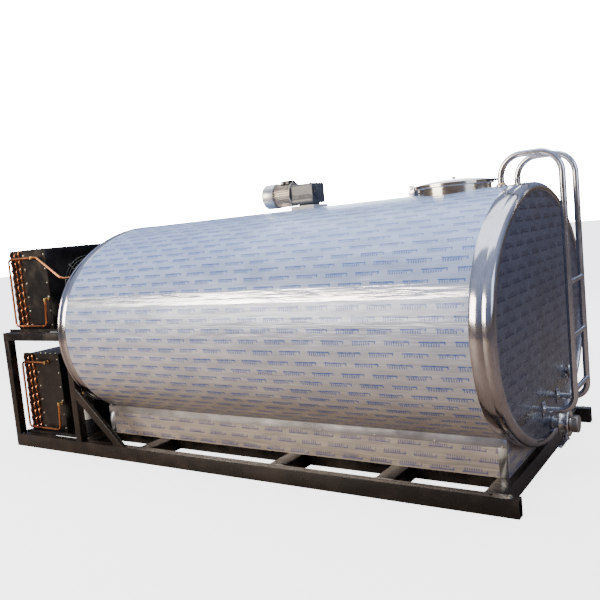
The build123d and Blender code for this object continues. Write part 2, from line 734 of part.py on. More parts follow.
def thermometer():
    x0 = end_face_x
    x1 = x0 + dial_depth
    pocket = rod_x(front_x - vessel_inset, x0 + 12, dial_side, dial_z, pocket_radius)
    case = rod_x(x0 + 12, x1, dial_side, dial_z, dial_radius)
    case = fillet(case.edges().sort_by(Axis.X)[0], 5)
    case -= rod_x(x0 + 16, x1 + 1, dial_side, dial_z, dial_radius - dial_wall)
    case += rod_x(x0 + 15, x0 + 24, dial_side, dial_z, 3)
    case = case + pocket
    glass_x = (x1 - 4, x1 - 2)
    save("thermometer_case", case)
    save("thermometer_glass", rod_x(*glass_x, dial_side, dial_z, dial_radius - dial_wall))
    needle_x = (x0 + 20, x0 + 22)
    needle = rod_x(*needle_x, dial_side, dial_z, 7)
    needle += block(needle_x, (dial_side - 2, dial_side + 2), (dial_z - 14, dial_z + 36))
    save("thermometer_needle", needle - rod_x(x0, x1, dial_side, dial_z, 3 + running_gap))


# ------------------------------------------------------- rack and cooling units
def rack():
    members = []
    post_z = (skid_height, rack_height - post_size)
    beam_z = (rack_height - post_size, rack_height)
    right = rack_x1 - post_size
    for side in (-1, 1):
        low = min(side * skid_half_width, side * (skid_half_width - post_size))
        brace_low = min(side * skid_half_width, side * (skid_half_width - brace_depth))
        y = (low, low + post_size)
        for x in (rack_x0, right):
            post = block((x, x + post_size), y, post_z)
            core = block((x + 4, x + post_size - 4), (y[0] + 4, y[1] - 4), (0, rack_height))
            members.append(post - core)
        members.append(beam_x(rack_x0, rack_x1, y, beam_z, 4))
        outline = Polyline(
            (rack_x1, brace_low, skid_height + brace_rise - brace_width * 1.3),
            (rack_x1, brace_low, skid_height + brace_rise),
            (rack_x1 + brace_run + brace_width, brace_low, skid_height),
            (rack_x1 + brace_run - brace_width * 0.3, brace_low, skid_height),
            close=True,
        )
        brace = extrude(make_face(outline), brace_depth, dir=(0, 1, 0))
        members.append(brace)
    for x in (rack_x0, right):
        inner = skid_half_width - post_size
        members.append(beam_y(-inner, inner, (x, x + post_size), beam_z, 4))
    save("unit_frame", *members)

    inner = skid_half_width - post_size - 4
    trays = [
        block((rack_x0 + post_size + 1, right - 1), (-inner, inner),
              (skid_height, skid_height + tray_sheet)),
        block((rack_x0 + 6, rack_x1 - 6), (-inner, inner),
              (rack_height, rack_height + tray_sheet)),
    ]
    for tray, low_x, high_x in ((0, rack_x0 + post_size + 1, right - 1),
                                (1, rack_x0 + 6, rack_x1 - 6)):
        top = (skid_height, rack_height)[tray]
        for y in (-inner, inner - tray_sheet):
            lip = block((low_x, high_x), (y, y + tray_sheet), (top, top + 22))
            trays[tray] += lip
    save("unit_trays", *trays)


def condensers():
    coils = []
    bends = []
    width = unit_half_width
    for base in tray_tops.values():
        core = block((coil_x0 + 8, coil_x1 - 8), (-width + 20, width - 20),
                     (base, base + coil_height - 10))
        for side in (-1, 1):
            low = min(side * width, side * (width - 20))
            core += block((coil_x0, coil_x1), (low, low + 20), (base, base + coil_height))
        coils.append(core)
        for side in (-1, 1):
            face = side * width
            for column in range(bend_columns):
                x = coil_x0 + coil_depth * (column + 0.5) / bend_columns
                for row in range(bend_rows):
                    z = base + 40 + row * bend_pitch - (column % 2) * bend_pitch / 4
                    if z + bend_radius + bend_tube > base + coil_height:
                        continue
                    bends.append(return_bend(x, face, side, z))
    save("condenser_coils", *coils)
    save("coil_return_bends", *bends)


def return_bend(x, face, side, z):
    """Half a ring of tube standing out of a tube sheet, its ends one above the other."""
    ring = Pos(x, face, z) * Rot(0, 90, 0) * Torus(bend_radius, bend_tube)
    reach = bend_radius + bend_tube + 1
    keep = sorted((face, face + side * reach))
    return ring & block((x - reach, x + reach), keep, (z - reach, z + reach))


def shrouds():
    boxes = []
    motors = []
    for level, base in tray_tops.items():
        width = unit_half_width
        z = (base, base + coil_height)
        box = block((coil_x1, shroud_x1), (-width, width), z)
        box -= block((coil_x1 - 1, shroud_x1 - shroud_sheet), (-width + shroud_sheet, width - shroud_sheet),
                     (z[0] + shroud_sheet, z[1] - shroud_sheet))
        fan_z = base + coil_height / 2
        for side in (-1, 1):
            box -= rod_x(shroud_x1 - 20, shroud_x1 + 1, side * fan_spread, fan_z, fan_opening)
        boxes.append(box)
        fan_x1 = shroud_x1 - fan_inset
        fan_x0 = fan_x1 - hub_length
        motor_x = fan_x0 - 4
        for side in (-1, 1):
            y = side * fan_spread
            housing = rod_x(motor_x - fan_motor_length, motor_x, y, fan_z, fan_motor_radius)
            bar_x = (motor_x - fan_motor_length - motor_bar_thickness, motor_x - fan_motor_length)
            bar = block(bar_x, (y - motor_bar_width / 2, y + motor_bar_width / 2),
                        (z[0] + shroud_sheet, z[1] - shroud_sheet))
            housing = housing + bar
            housing -= rod_x(motor_x - 50, motor_x + 1, y, fan_z, fan_shaft_radius + running_gap)
            motors.append(housing)
            name = f"{level}_{'near' if side < 0 else 'far'}_fan"
            save(name, fan(fan_x0, fan_x1, y, fan_z, motor_x - 48))
    save("fan_shrouds", *boxes)
    save("fan_motors", *motors)


def fan(x0, x1, y, z, shaft_start):
    wheel = rod_x(x0, x1, 0, 0, hub_radius)
    wheel += rod_x(shaft_start, x0, 0, 0, fan_shaft_radius)
    length = fan_radius - hub_radius + 8
    blade = Box(3, 130, length)
    blade = Pos((x0 + x1) / 2, 0, hub_radius - 8 + length / 2) * Rot(0, 0, 62) * blade
    keep = rod_x(x0 - 60, x1 + 60, 0, 0, fan_radius)
    blade = blade & keep & block((x0, x1), (-300, 300), (0, 300))
    for turn in range(fan_blades):
        wheel += Rot(360 * turn / fan_blades, 0, 0) * blade
    return Pos(0, y, z) * wheel


def compressors():
    cans = []
    receivers = []
    can_x = shroud_x1 + can_gap + can_radius
    can_x = min(can_x, rack_x1 - post_size - can_radius - 6)
    for base in tray_tops.values():
        can = rod_z(base + 30, base + can_height, can_x, can_side, can_radius)
        can = fillet(can.edges().filter_by(GeomType.CIRCLE), 38)
        can += rod_z(base + 150, base + 158, can_x, can_side, can_radius + 4)
        for i in (-1, 1):
            for j in (-1, 1):
                can += rod_z(base, base + 60, can_x + i * 65, can_side + j * 65, 12)
        cans.append(can)
        tank = rod_z(base, base + receiver_height, can_x, receiver_side, receiver_radius)
        tank = fillet(tank.edges().sort_by(Axis.Z)[-1], 30)
        receivers.append(tank)
    save("compressors", *cans)
    save("liquid_receivers", *receivers)


def copper():
    pipes = []
    y = -unit_half_width - pipe_standoff
    header_x = coil_x0 + 26
    right = shroud_x1 - 40
    for base in tray_tops.values():
        top = base + coil_height - 65
        low = base + 40
        loop = [
            (right - 90, y, top),
            (header_x, y, top),
            (header_x - 8, y, low),
            (right, y, low),
            (right + 18, y, low + 210),
        ]
        pipes.append(bent_pipe(loop, [34, 26, 40], copper_radius))
        for place_x, place_z in ((right - 90, top), (right + 18, low + 210)):
            stub = rod_y(y, -unit_half_width, place_x, place_z, copper_radius + 2)
            pipes[-1] = pipes[-1] + stub
    upper = tray_tops["upper"]
    run_y = y
    join = (right - 90, run_y, upper + coil_height - 65)
    suction = [
        join,
        (join[0] + 60, run_y, join[2]),
        (rack_x1 - 95, run_y, join[2] - 180),
        (rack_x1 - 95, can_side, join[2] - 180),
        (rack_x1 - 95, can_side, upper + can_height),
    ]
    pipes.append(bent_pipe(suction, [50, 40, 40], copper_radius - 1) - pipes[1])
    save("copper_pipes", *pipes)


# ------------------------------------------------------------------- control box
def control_box():
    y0 = skid_half_width
    y1 = y0 + box_depth
    z1 = rack_height + 20
    z0 = z1 - box_height
    x1 = rack_x1 - 170
    x0 = x1 - box_length
    case = block((x0, x1), (y0, y1), (z0, z1))
    case -= block((x0 + box_sheet, x1 - box_sheet), (y0 + box_sheet, y1 + 1),
                  (z0 + box_sheet, z1 - box_sheet))
    hinge_y = y1 + door_thickness / 2
    pin_x = x0 - door_hinge_radius - 1
    for z in (z0 + 60, z1 - 60):
        case += block((pin_x - 3, x0 + 1), (y1 - 14, y1 - 2), (z - 30, z - 10))
        case += block((pin_x - 3, pin_x + 3), (y1 - 6, hinge_y), (z - 30, z - 10))
        case += rod_z(z - 30, z + 10, pin_x, hinge_y, 3)
    save("control_box", case)
    door_y = (y1 + moving_gap, y1 + door_thickness)
    door = block((x0, x1), door_y, (z0, z1))
    for z in (z0 + 60, z1 - 60):
        door += block((pin_x, x0 + 1), (y1 + 1, y1 + door_thickness - 1), (z - 9, z + 9))
        door += rod_z(z - 9, z + 9, pin_x, hinge_y, 5)
        door -= rod_z(z - 11, z + 11, pin_x, hinge_y, 3 + running_gap)
    latch = rod_y(door_y[1], door_y[1] + knob_length, x1 - 30, (z0 + z1) / 2, 13)
    save("control_door", door + latch)


skid()
saddles()
skirt()
tank()
manway()
agitator_mounting()
gearbox()
motor()
agitator()
ladder()
outlet()
thermometer()
rack()
condensers()
shrouds()
compressors()
copper()
control_box()
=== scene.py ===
# %% [markdown]
# # A bulk milk tank, built piece by piece
#
# A bulk milk tank chills a farm's milk and keeps it until the tanker comes. This
# one is an oval insulated vessel on a steel skid, with a manway, an agitator drive
# and a ladder, and a rack of condensing units behind it. The machine's frame, with
# every real size, comes from the CAD model. This file gives it its visible skin:
# smooth sheet metal, pipes, guards, and a finish for every surface.
#
# The first cell loads the frame, and most positions below are read from its boxes.

# %% The frame
import json
from math import atan2, cos, pi, radians, sin, tan

import bmesh
import bpy
from mathutils import Matrix, Vector

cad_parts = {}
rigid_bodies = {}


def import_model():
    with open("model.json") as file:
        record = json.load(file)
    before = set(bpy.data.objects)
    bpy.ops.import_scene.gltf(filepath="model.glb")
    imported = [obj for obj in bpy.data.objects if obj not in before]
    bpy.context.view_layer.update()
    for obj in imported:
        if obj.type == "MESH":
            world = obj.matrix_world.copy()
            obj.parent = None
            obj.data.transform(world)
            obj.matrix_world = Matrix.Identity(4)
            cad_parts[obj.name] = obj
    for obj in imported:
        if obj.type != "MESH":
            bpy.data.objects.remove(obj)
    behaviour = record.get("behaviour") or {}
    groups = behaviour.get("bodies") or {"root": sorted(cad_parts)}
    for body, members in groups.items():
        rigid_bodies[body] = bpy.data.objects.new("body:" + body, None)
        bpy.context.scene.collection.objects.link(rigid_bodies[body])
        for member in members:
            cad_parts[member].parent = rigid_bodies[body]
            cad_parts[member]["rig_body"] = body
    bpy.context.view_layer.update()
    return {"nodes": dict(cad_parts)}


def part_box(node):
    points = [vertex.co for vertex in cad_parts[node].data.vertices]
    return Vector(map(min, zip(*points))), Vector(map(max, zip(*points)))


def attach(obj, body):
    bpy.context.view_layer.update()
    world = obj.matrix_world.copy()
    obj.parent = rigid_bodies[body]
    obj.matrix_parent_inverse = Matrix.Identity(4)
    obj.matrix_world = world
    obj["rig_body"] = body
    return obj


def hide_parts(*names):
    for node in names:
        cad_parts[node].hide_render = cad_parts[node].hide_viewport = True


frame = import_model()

# %% [markdown]
# ## The camera
#
# The view stands off the ladder's corner at eye height, turned a third of the way
# towards the long side, and leans a little, as a hand-held view does. A camera can
# be aimed with a Track To constraint, but three plain turns, for heading, tilt and
# lean, are easier to repeat exactly.

# %% Camera
eye = bpy.data.cameras.new("eye")
eye.sensor_width = 36
eye.lens = 41.86
camera = bpy.data.objects.new("camera", eye)
bpy.context.scene.collection.objects.link(camera)
heading = Matrix.Rotation(radians(33.945), 4, "Z")
tilt = Matrix.Rotation(radians(90 - 5.691), 4, "X")
lean = Matrix.Rotation(radians(-5.504), 4, "Z")
stand = Matrix.Translation((3.0462, -4.2341, 1.5426))
camera.matrix_world = stand @ heading @ tilt @ lean
bpy.context.scene.camera = camera
print("lens", eye.lens, "mm")

# %% [markdown]
# ## Studio light
#
# Polished steel shows little of itself and much of its surroundings, so the light
# is chosen for what the metal reflects. A large warm panel stands off the long
# side, as low sun would, a cool one fills the ladder end, and a soft white one
# hangs overhead, with a weaker one on the far side. The world and the floor come
# after the finishes, because they are made of the same nodes.

# %% Lamps
def lamp(name, place, target, size, power, colour):
    light = bpy.data.lights.new(name, "AREA")
    light.shape = "RECTANGLE"
    light.size = size[0]
    light.size_y = size[1]
    light.energy = power
    light.color = colour
    made = bpy.data.objects.new(name, light)
    bpy.context.scene.collection.objects.link(made)
    aim = Vector(target) - Vector(place)
    made.location = place
    made.rotation_euler = aim.to_track_quat("-Z", "Y").to_euler()
    return made


lamp("long_side_panel", (-3.2, -6.5, 3.4), (-0.2, -0.6, 0.9), (4.5, 3.0), 700, (1.0, 0.88, 0.72))
lamp("ladder_end_panel", (6.5, -2.0, 3.2), (1.6, 0.0, 0.9), (3.0, 3.0), 70, (0.74, 0.82, 1.0))
lamp("overhead_panel", (0.0, 1.0, 6.0), (0.0, 0.0, 1.0), (7.0, 5.0), 260, (0.90, 0.95, 1.0))
lamp("far_side_panel", (-2.5, 6.5, 3.0), (-0.3, 0.5, 0.9), (4.0, 3.0), 200, (0.86, 0.92, 1.0))

# %% [markdown]
# ## Sums on sockets
#
# A finish is a small network of nodes. Adding each node and each link by hand
# takes many lines and hides the idea, so one class wraps a node's output and lets
# it be used in ordinary sums: `1 - mask` adds a Subtract node. Every other kind of
# node comes from one method, which sets the node's options before its sockets.

# %% The socket class
class Wire:
    """One output of a finish's node tree, used in sums as a number is."""

    def __init__(self, tree, socket=None):
        self.tree = tree
        self.socket = socket

    def node(self, kind, settings=None, values=None, output=0):
        """Add any node: first its settings, then the values or links of its sockets."""
        made = self.tree.nodes.new("ShaderNode" + kind)
        for name, value in (settings or {}).items():
            if name == "stops":
                elements = made.color_ramp.elements
                elements[0].position = value[0][0]
                elements[1].position = value[-1][0]
                for place, _ in value[1:-1]:
                    elements.new(place)
                for stop, (_, colour) in zip(elements, value):
                    stop.color = (*colour, 1)
            else:
                setattr(made, name, value)
        for name, value in (values or {}).items():
            if isinstance(name, int):
                socket = made.inputs[name]
            else:
                socket = next(s for s in made.inputs if s.name == name and s.enabled)
            if isinstance(value, Wire):
                self.tree.links.new(value.socket, socket)
            else:
                socket.default_value = value
        if isinstance(output, int):
            return Wire(self.tree, [s for s in made.outputs if s.enabled][output])
        return Wire(self.tree, made.outputs[output])

    def maths(self, operation, *numbers):
        return self.node("Math", {"operation": operation}, dict(enumerate((self, *numbers))))

    def __add__(self, other):
        return self.maths("ADD", other)

    def __sub__(self, other):
        return self.maths("SUBTRACT", other)

    def __mul__(self, other):
        return self.maths("MULTIPLY", other)

    def __truediv__(self, other):
        return self.maths("DIVIDE", other)

    def __gt__(self, other):
        return self.maths("GREATER_THAN", other)

    def __lt__(self, other):
        return self.maths("LESS_THAN", other)

    def __rsub__(self, other):
        return self * -1 + other

    __radd__ = __add__
    __rmul__ = __mul__


print("sums: + - * / < >, and any node by its kind")

# %% [markdown]
# ## Helpers for finishes
#
# Most finishes share a few moves: read the place on the object, split it into
# parts, cloud it with noise, mix two colours by a mask, and close with one
# Principled shader. Object coordinates are in metres here, so a noise scale of 100
# means detail of about a centimetre.

# %% Finish helpers
finishes = {}


def new_finish(name):
    material = bpy.data.materials.new(name)
    material.use_nodes = True
    material.node_tree.nodes.clear()
    finishes[name] = material
    start = Wire(material.node_tree)
    return start.node("TexCoord", output="Object")


def parts(place):
    return [place.node("SeparateXYZ", values={0: place}, output=n) for n in range(3)]


def cloud(place, scale, detail=4.0, roughness=0.55):
    values = {"Vector": place, "Scale": scale, "Detail": detail, "Roughness": roughness}
    return place.node("TexNoise", values=values, output="Fac")


def stretched(place, x, y, z):
    return place.node("VectorMath", {"operation": "MULTIPLY"}, {0: place, 1: (x, y, z)})


def mixed(mask, first, second):
    values = {"Factor": mask}
    for name, colour in (("A", first), ("B", second)):
        values[name] = colour if isinstance(colour, Wire) else (*colour, 1)
    return mask.node("Mix", {"data_type": "RGBA"}, values)


def between(number, low, high, first=0.0, last=1.0):
    """Carry number from the range low..high to first..last, held at its ends."""
    values = {"Value": number, "From Min": low, "From Max": high, "To Min": first, "To Max": last}
    return number.node("MapRange", {"clamp": True}, values)


def near(number, middle, reach, soft=0.002):
    """1 within reach of middle, 0 outside, with a soft edge."""
    away = (number - middle).maths("ABSOLUTE")
    return between(away, reach, reach + soft, 1.0, 0.0)


def coat_with(place, colour, roughness, metallic=0.0, relief=None, depth=0.001, **plain):
    """Close a finish with one Principled shader; plain values go on its own sockets."""
    values = {"Roughness": roughness, "Metallic": metallic}
    values["Base Color"] = colour if isinstance(colour, Wire) else (*colour, 1)
    if relief is not None:
        bump = {"Height": relief, "Distance": depth, "Strength": 1.0}
        values["Normal"] = place.node("Bump", values=bump)
    for name, value in plain.items():
        values[name.replace("_", " ")] = value
    shader = place.node("BsdfPrincipled", values=values)
    end = place.tree.nodes.new("ShaderNodeOutputMaterial")
    place.tree.links.new(shader.socket, end.inputs["Surface"])


print("helpers for finishes are ready")

# %% [markdown]
# ## Protective film
#
# The sheet metal still wears its shipping film: a thin printed plastic that makes
# the steel look milky. Its colour goes from cool blue near the crown to warm grey
# below, which is painted sky reflection above and painted ground reflection and
# shade below, with faint creases and rows of small printed strokes. The strokes
# here are plain dashes over an underline, drawn with sums on the sheet's own length
# and girth.
# One seam, where two sheets meet, is left bare.

# %% Film finishes
def print_strokes(along, around):
    """1 on the printed strokes: a dash row over an underline, staggered like bricks."""
    row_pitch = 0.064
    stroke_pitch = 0.196
    dash_pitch = 0.0137
    row = (around / row_pitch).maths("FLOOR")
    across = (along / stroke_pitch + row * 0.5).maths("FRACT")
    up = (around / row_pitch).maths("FRACT")
    line = near(up, 0.20, 0.055, 0.03) * near(across, 0.39, 0.37, 0.01)
    dashes = near(up, 0.42, 0.12, 0.04) * near(across, 0.32, 0.28, 0.01)
    gaps = (along / dash_pitch).maths("FRACT") > 0.42
    tick = near(up, 0.30, 0.12, 0.03) * near(across, 0.745, 0.015, 0.008)
    return line.maths("MAXIMUM", dashes * gaps * 0.9).maths("MAXIMUM", tick)


def film(place, along, around, sky_and_shade_tones, ink, seam=None, strip=(0.80, 0.82, 0.86)):
    """Printed film over steel; its tones are a ramp over the height of the machine, painted sky reflection
    above and painted ground reflection and shade below.
    """
    clear = 0.12
    lowest, highest = 0.10, 1.70
    height = parts(place)[2]
    level = between(height, lowest, highest)
    # The ramp over height paints light: sky reflection towards the crown, ground reflection and shade towards
    # the belly.
    tone = level.node("ValToRGB", {"stops": sky_and_shade_tones}, {"Fac": level}, output="Color")
    creases = cloud(stretched(place, 1.2, 2.6, 5.0), 3.2, 3)
    ripple = cloud(stretched(place, 0.5, 3.0, 9.0), 6.0, 2)
    dust = cloud(place, 55, 3)
    shade = mixed(between(creases, 0.35, 0.70), (0.78, 0.78, 0.80), (1.12, 1.10, 1.06))
    product = {"data_type": "RGBA", "blend_type": "MULTIPLY"}
    body = shade.node("Mix", product, {"Factor": 1.0, "A": tone, "B": shade})
    wobble = along + creases * 0.010
    marks = print_strokes(wobble, around + creases * 0.012) * between(dust, 0.30, 0.60, 0.55, 1.0)
    metal = between(creases, 0.3, 0.7, clear * 0.8, clear * 1.2)
    rough = between(ripple, 0.3, 0.7, 0.26, 0.42)
    if seam is not None:
        bare = near(height, seam[0], seam[1], 0.004)
        marks = marks * (1 - bare)
        metal = metal.maths("MAXIMUM", bare * 0.92)
        body = mixed(bare, body, strip)
        rough = rough - bare * 0.06
    colour = mixed(marks * 0.92, body, ink)
    relief = creases * 1.0 + ripple * 0.6 + marks * 0.02
    coat_with(place, colour, rough, metal, relief, 0.006, Coat_Weight=0.35, Coat_Roughness=0.16)


# Long side film tones over height: painted ground reflection and shade low down, painted blue sky reflection
# near the crown.
LONG_SKY_AND_SHADE_TONES = [
    (0.00, (0.42, 0.35, 0.29)),
    (0.22, (0.50, 0.46, 0.43)),
    (0.45, (0.54, 0.55, 0.61)),
    (0.66, (0.47, 0.55, 0.74)),
    (0.88, (0.42, 0.55, 0.86)),
    (1.00, (0.50, 0.64, 0.92)),
]
# End plate film tones: the long side's film in painted shade over the whole end, a little lighter towards the
# top.
END_SHADE_TONES = [
    (0.00, (0.085, 0.092, 0.115)),
    (0.30, (0.100, 0.110, 0.145)),
    (0.70, (0.110, 0.125, 0.180)),
    (1.00, (0.135, 0.165, 0.250)),
]

place = new_finish("shell_film")
along, around = parts(place.node("TexCoord", output="UV"))[:2]
film(place, along, around, LONG_SKY_AND_SHADE_TONES, (0.030, 0.10, 0.42), seam=(1.174, 0.034))
place = new_finish("skirt_film")
x, y, z = parts(place)
film(place, x + y, z + 0.02, LONG_SKY_AND_SHADE_TONES, (0.10, 0.11, 0.24))
# The end film's tones, ink and bare seam strip are darkened copies of the long side's: painted shade.
place = new_finish("shaded_end_film")
y, z = parts(place)[1:]
film(place, y, z, END_SHADE_TONES, (0.008, 0.012, 0.050), seam=(0.418, 0.026), strip=(0.11, 0.11, 0.12))
print("film finishes:", sorted(finishes))

# %% [markdown]
# ## Bare metals
#
# Stainless tube is polished along its length, castings are dull and grainy, and
# copper dulls in patches. All of them are the same idea with other numbers: fine
# lines from a stretched noise, broad smears that change how sharp reflections are,
# and two close colours, so that no surface is one flat tone.

# %% Metal finishes
def bare_metal(name, light, dark, roughness, grain=(1, 1, 1), scale=90, depth=0.0001, smears=6, **plain):
    place = new_finish(name)
    lines = cloud(stretched(place, *grain), scale, 3)
    smear = cloud(place, smears, 4)
    colour = mixed(between(lines * 0.5 + smear * 0.5, 0.35, 0.65), dark, light)
    rough = between(smear, 0.3, 0.7, roughness * 0.7, roughness * 1.4) + lines * 0.05
    coat_with(place, colour, rough, 1.0, lines, depth, **plain)


bare_metal("rim_steel", (0.66, 0.65, 0.68), (0.46, 0.44, 0.46), 0.12, (6, 1, 1), 40, 0.00012)
bare_metal("polished_tube", (0.82, 0.82, 0.84), (0.60, 0.60, 0.62), 0.15, (1, 1, 0.2), 120, 0.00005)
bare_metal("polished_lid", (0.86, 0.84, 0.80), (0.62, 0.58, 0.52), 0.13, (1, 1, 3), 30, 0.0001)
bare_metal("brushed_steel", (0.66, 0.67, 0.69), (0.40, 0.41, 0.43), 0.30, (0.15, 3, 3), 160, 0.00012)
bare_metal("vessel_steel", (0.70, 0.71, 0.72), (0.52, 0.53, 0.55), 0.22, (0.3, 2, 2), 60, 0.0001)
bare_metal("weld_metal", (0.52, 0.47, 0.42), (0.22, 0.17, 0.16), 0.34, (1, 1, 1), 420, 0.0008, 60)
bare_metal("cast_aluminium", (0.60, 0.55, 0.49), (0.36, 0.32, 0.28), 0.42, (1, 1, 1), 420, 0.0005, 18)
bare_metal("cowl_silver", (0.70, 0.70, 0.69), (0.50, 0.49, 0.48), 0.33, (1, 1, 1), 300, 0.0002, 12)
bare_metal("zinc_bolts", (0.66, 0.65, 0.60), (0.36, 0.34, 0.30), 0.36, (1, 1, 1), 500, 0.0002, 60)
bare_metal("shaft_steel", (0.62, 0.62, 0.63), (0.40, 0.40, 0.42), 0.24, (3, 3, 0.3), 160, 0.0001)
bare_metal("bronze", (0.62, 0.40, 0.16), (0.34, 0.19, 0.07), 0.34, (1, 1, 1), 220, 0.0003, 30)
bare_metal("copper_tube", (0.86, 0.36, 0.15), (0.40, 0.14, 0.06), 0.26, (1, 1, 1), 140, 0.0002, 9)
bare_metal("aged_copper", (0.62, 0.24, 0.11), (0.22, 0.08, 0.05), 0.38, (1, 1, 1), 180, 0.0003, 22)
bare_metal("brass", (0.80, 0.58, 0.24), (0.50, 0.33, 0.12), 0.30, (1, 1, 1), 240, 0.0002, 40)
print("metals:", len(finishes) - 3)

# %% [markdown]
# ## Paints, plastics and the rest
#
# The skid and rack are sprayed black and already dusty, so a brown dust lies in
# broad clouds and gathers on upward faces, which the Normal output finds. Castings
# and boxes have their own enamels with a little orange peel in the surface.

# %% Paint and plastic finishes
def painted(name, base, worn, roughness, scale=9, wear=0.58, depth=0.0004, settle=0.0, **plain):
    place = new_finish(name)
    broad = cloud(place, scale, 5)
    grit = cloud(place, scale * 22, 3)
    upward = parts(place.node("NewGeometry", output="Normal"))[2]
    dust = between(broad + grit * 0.30, wear, wear + 0.35) + between(upward, 0.6, 1.0) * broad * settle
    colour = mixed(dust.maths("MINIMUM", 1.0), base, worn)
    rough = between(broad, 0.3, 0.7, roughness * 0.8, roughness * 1.35) + dust * 0.12
    coat_with(place, colour, rough, 0.0, grit * 0.7 + broad, depth, **plain)


painted(
    "black_skid_paint", (0.0050, 0.0040, 0.0034), (0.028, 0.018, 0.011), 0.26, 7, 0.62, 0.0006, 0.5,
    Coat_Weight=0.3, Coat_Roughness=0.14,
)
painted(
    "black_sheet_paint", (0.0055, 0.0046, 0.0040), (0.022, 0.015, 0.010), 0.30, 11, 0.66, 0.0005, 0.4,
    Coat_Weight=0.25, Coat_Roughness=0.2,
)
painted("white_casting", (0.62, 0.62, 0.60), (0.34, 0.31, 0.27), 0.40, 40, 0.66, 0.0006, 0.2)
painted(
    "gear_enamel", (0.055, 0.060, 0.068), (0.16, 0.15, 0.14), 0.32, 30, 0.70, 0.0007, 0.5,
    Coat_Weight=0.3,
)
painted("grey_enamel", (0.34, 0.36, 0.37), (0.24, 0.22, 0.20), 0.36, 18, 0.72, 0.0003, 0.4)
painted("black_plastic", (0.018, 0.018, 0.019), (0.055, 0.050, 0.046), 0.42, 60, 0.66, 0.0003, 0.4)
painted("fan_plastic", (0.030, 0.031, 0.033), (0.080, 0.075, 0.068), 0.44, 40, 0.66, 0.0003, 0.4)
painted("red_plastic", (0.52, 0.030, 0.022), (0.26, 0.020, 0.016), 0.36, 60, 0.68, 0.0003, 0.2)
painted(
    "can_enamel", (0.022, 0.023, 0.026), (0.10, 0.085, 0.068), 0.30, 22, 0.64, 0.0005, 0.6,
    Coat_Weight=0.3,
)
painted("seal_rubber", (0.030, 0.030, 0.031), (0.085, 0.080, 0.074), 0.62, 70, 0.66, 0.0006, 0.2)
painted("label_white", (0.72, 0.71, 0.67), (0.46, 0.42, 0.36), 0.48, 34, 0.64, 0.0002, 0.1)
painted("foam", (0.66, 0.52, 0.26), (0.42, 0.30, 0.13), 0.80, 60, 0.52, 0.003, 0.0)
painted("dial_face", (0.78, 0.77, 0.73), (0.60, 0.57, 0.50), 0.50, 60, 0.70, 0.0001, 0.0)

place = new_finish("coil_fins")
fin_pitch = 0.0042
fins = ((parts(place)[1] / fin_pitch).maths("FRACT") - 0.5).maths("ABSOLUTE") * 2.0
dirt = cloud(place, 14, 5)
colour = mixed(between(dirt, 0.40, 0.72), (0.24, 0.23, 0.22), (0.060, 0.048, 0.038))
# The near-black stripe between fins is painted shade in the gaps; the same stripe also gives the fins their
# bump.
colour = mixed(between(fins, 0.0, 0.5, 0.65, 0.0), colour, (0.010, 0.009, 0.009))
coat_with(place, colour, between(dirt, 0.3, 0.7, 0.36, 0.6), 0.8, fins, 0.002)

place = new_finish("dial_glass")
smudge = cloud(place, 50, 4)
colour = mixed(smudge, (0.93, 0.95, 0.96), (0.99, 0.99, 1.0))
rough = between(smudge, 0.3, 0.7, 0.03, 0.10)
coat_with(place, colour, rough, 0.0, smudge, 0.00002, Transmission_Weight=1.0, IOR=1.45)

place = new_finish("studio_floor")
pores = cloud(place, 3, 5)
seen = place.node("LightPath", output="Is Camera Ray")
lit = mixed(seen, (0.0, 0.0, 0.0), (1.0, 1.0, 1.0))
pale = mixed(pores, (0.80, 0.80, 0.79), (0.86, 0.86, 0.86))
colour = mixed(seen, (0.24, 0.17, 0.12), pale)
rough = between(pores, 0.3, 0.7, 0.55, 0.72)
coat_with(place, colour, rough, 0.0, pores, 0.0004, Emission_Color=lit, Emission_Strength=3.0)
print("finishes in all:", len(finishes))

# %% [markdown]
# ## The floor and the world
#
# A wide floor carries the machine. The camera sees it pale and softly lit, while
# reflections see brown ground, which is what makes polished steel look polished.
# The world works the same way: a gradient for reflections, dark and warm below the
# horizon and blue above, and plain white where the camera looks straight at it.

# %% Floor and world
bm = bmesh.new()
bmesh.ops.create_circle(bm, cap_ends=True, radius=60, segments=96)
floor_mesh = bpy.data.meshes.new("floor")
bm.to_mesh(floor_mesh)
bm.free()
floor_mesh.materials.append(finishes["studio_floor"])
floor = bpy.data.objects.new("floor", floor_mesh)
bpy.context.scene.collection.objects.link(floor)

world = bpy.data.worlds.new("studio")
bpy.context.scene.world = world
world.use_nodes = True
world.node_tree.nodes.clear()
sky = Wire(world.node_tree)
rise = parts(sky.node("TexCoord", output="Generated"))[2]
stops = [
    (0.00, (0.060, 0.042, 0.028)),
    (0.49, (0.095, 0.065, 0.042)),
    (0.52, (0.20, 0.16, 0.13)),
    (0.61, (0.23, 0.28, 0.44)),
    (1.00, (0.62, 0.72, 1.00)),
]
tone = rise.node("ValToRGB", {"stops": stops}, {"Fac": between(rise, -1.0, 1.0)}, output="Color")
seen = sky.node("LightPath", output="Is Camera Ray")
tone = mixed(seen, tone, (1.0, 1.0, 1.0))
reflected, extra_seen = 0.9, 30.0
strength = reflected + seen * extra_seen
glow = sky.node("Background", values={"Color": tone, "Strength": strength})
end = world.node_tree.nodes.new("ShaderNodeOutputWorld")
world.node_tree.links.new(glow.socket, end.inputs["Surface"])
print("floor", floor.dimensions.x, "m wide")

# %% [markdown]
# ## Making a piece
#
# Every new part is a bmesh that becomes one object. The object stays at the origin
# with its place in its mesh, so a pattern on Object coordinates lies still, and it
# rides on one of the machine's bodies. Edges sharper than the limit stay crisp and
# the rest are smoothed.

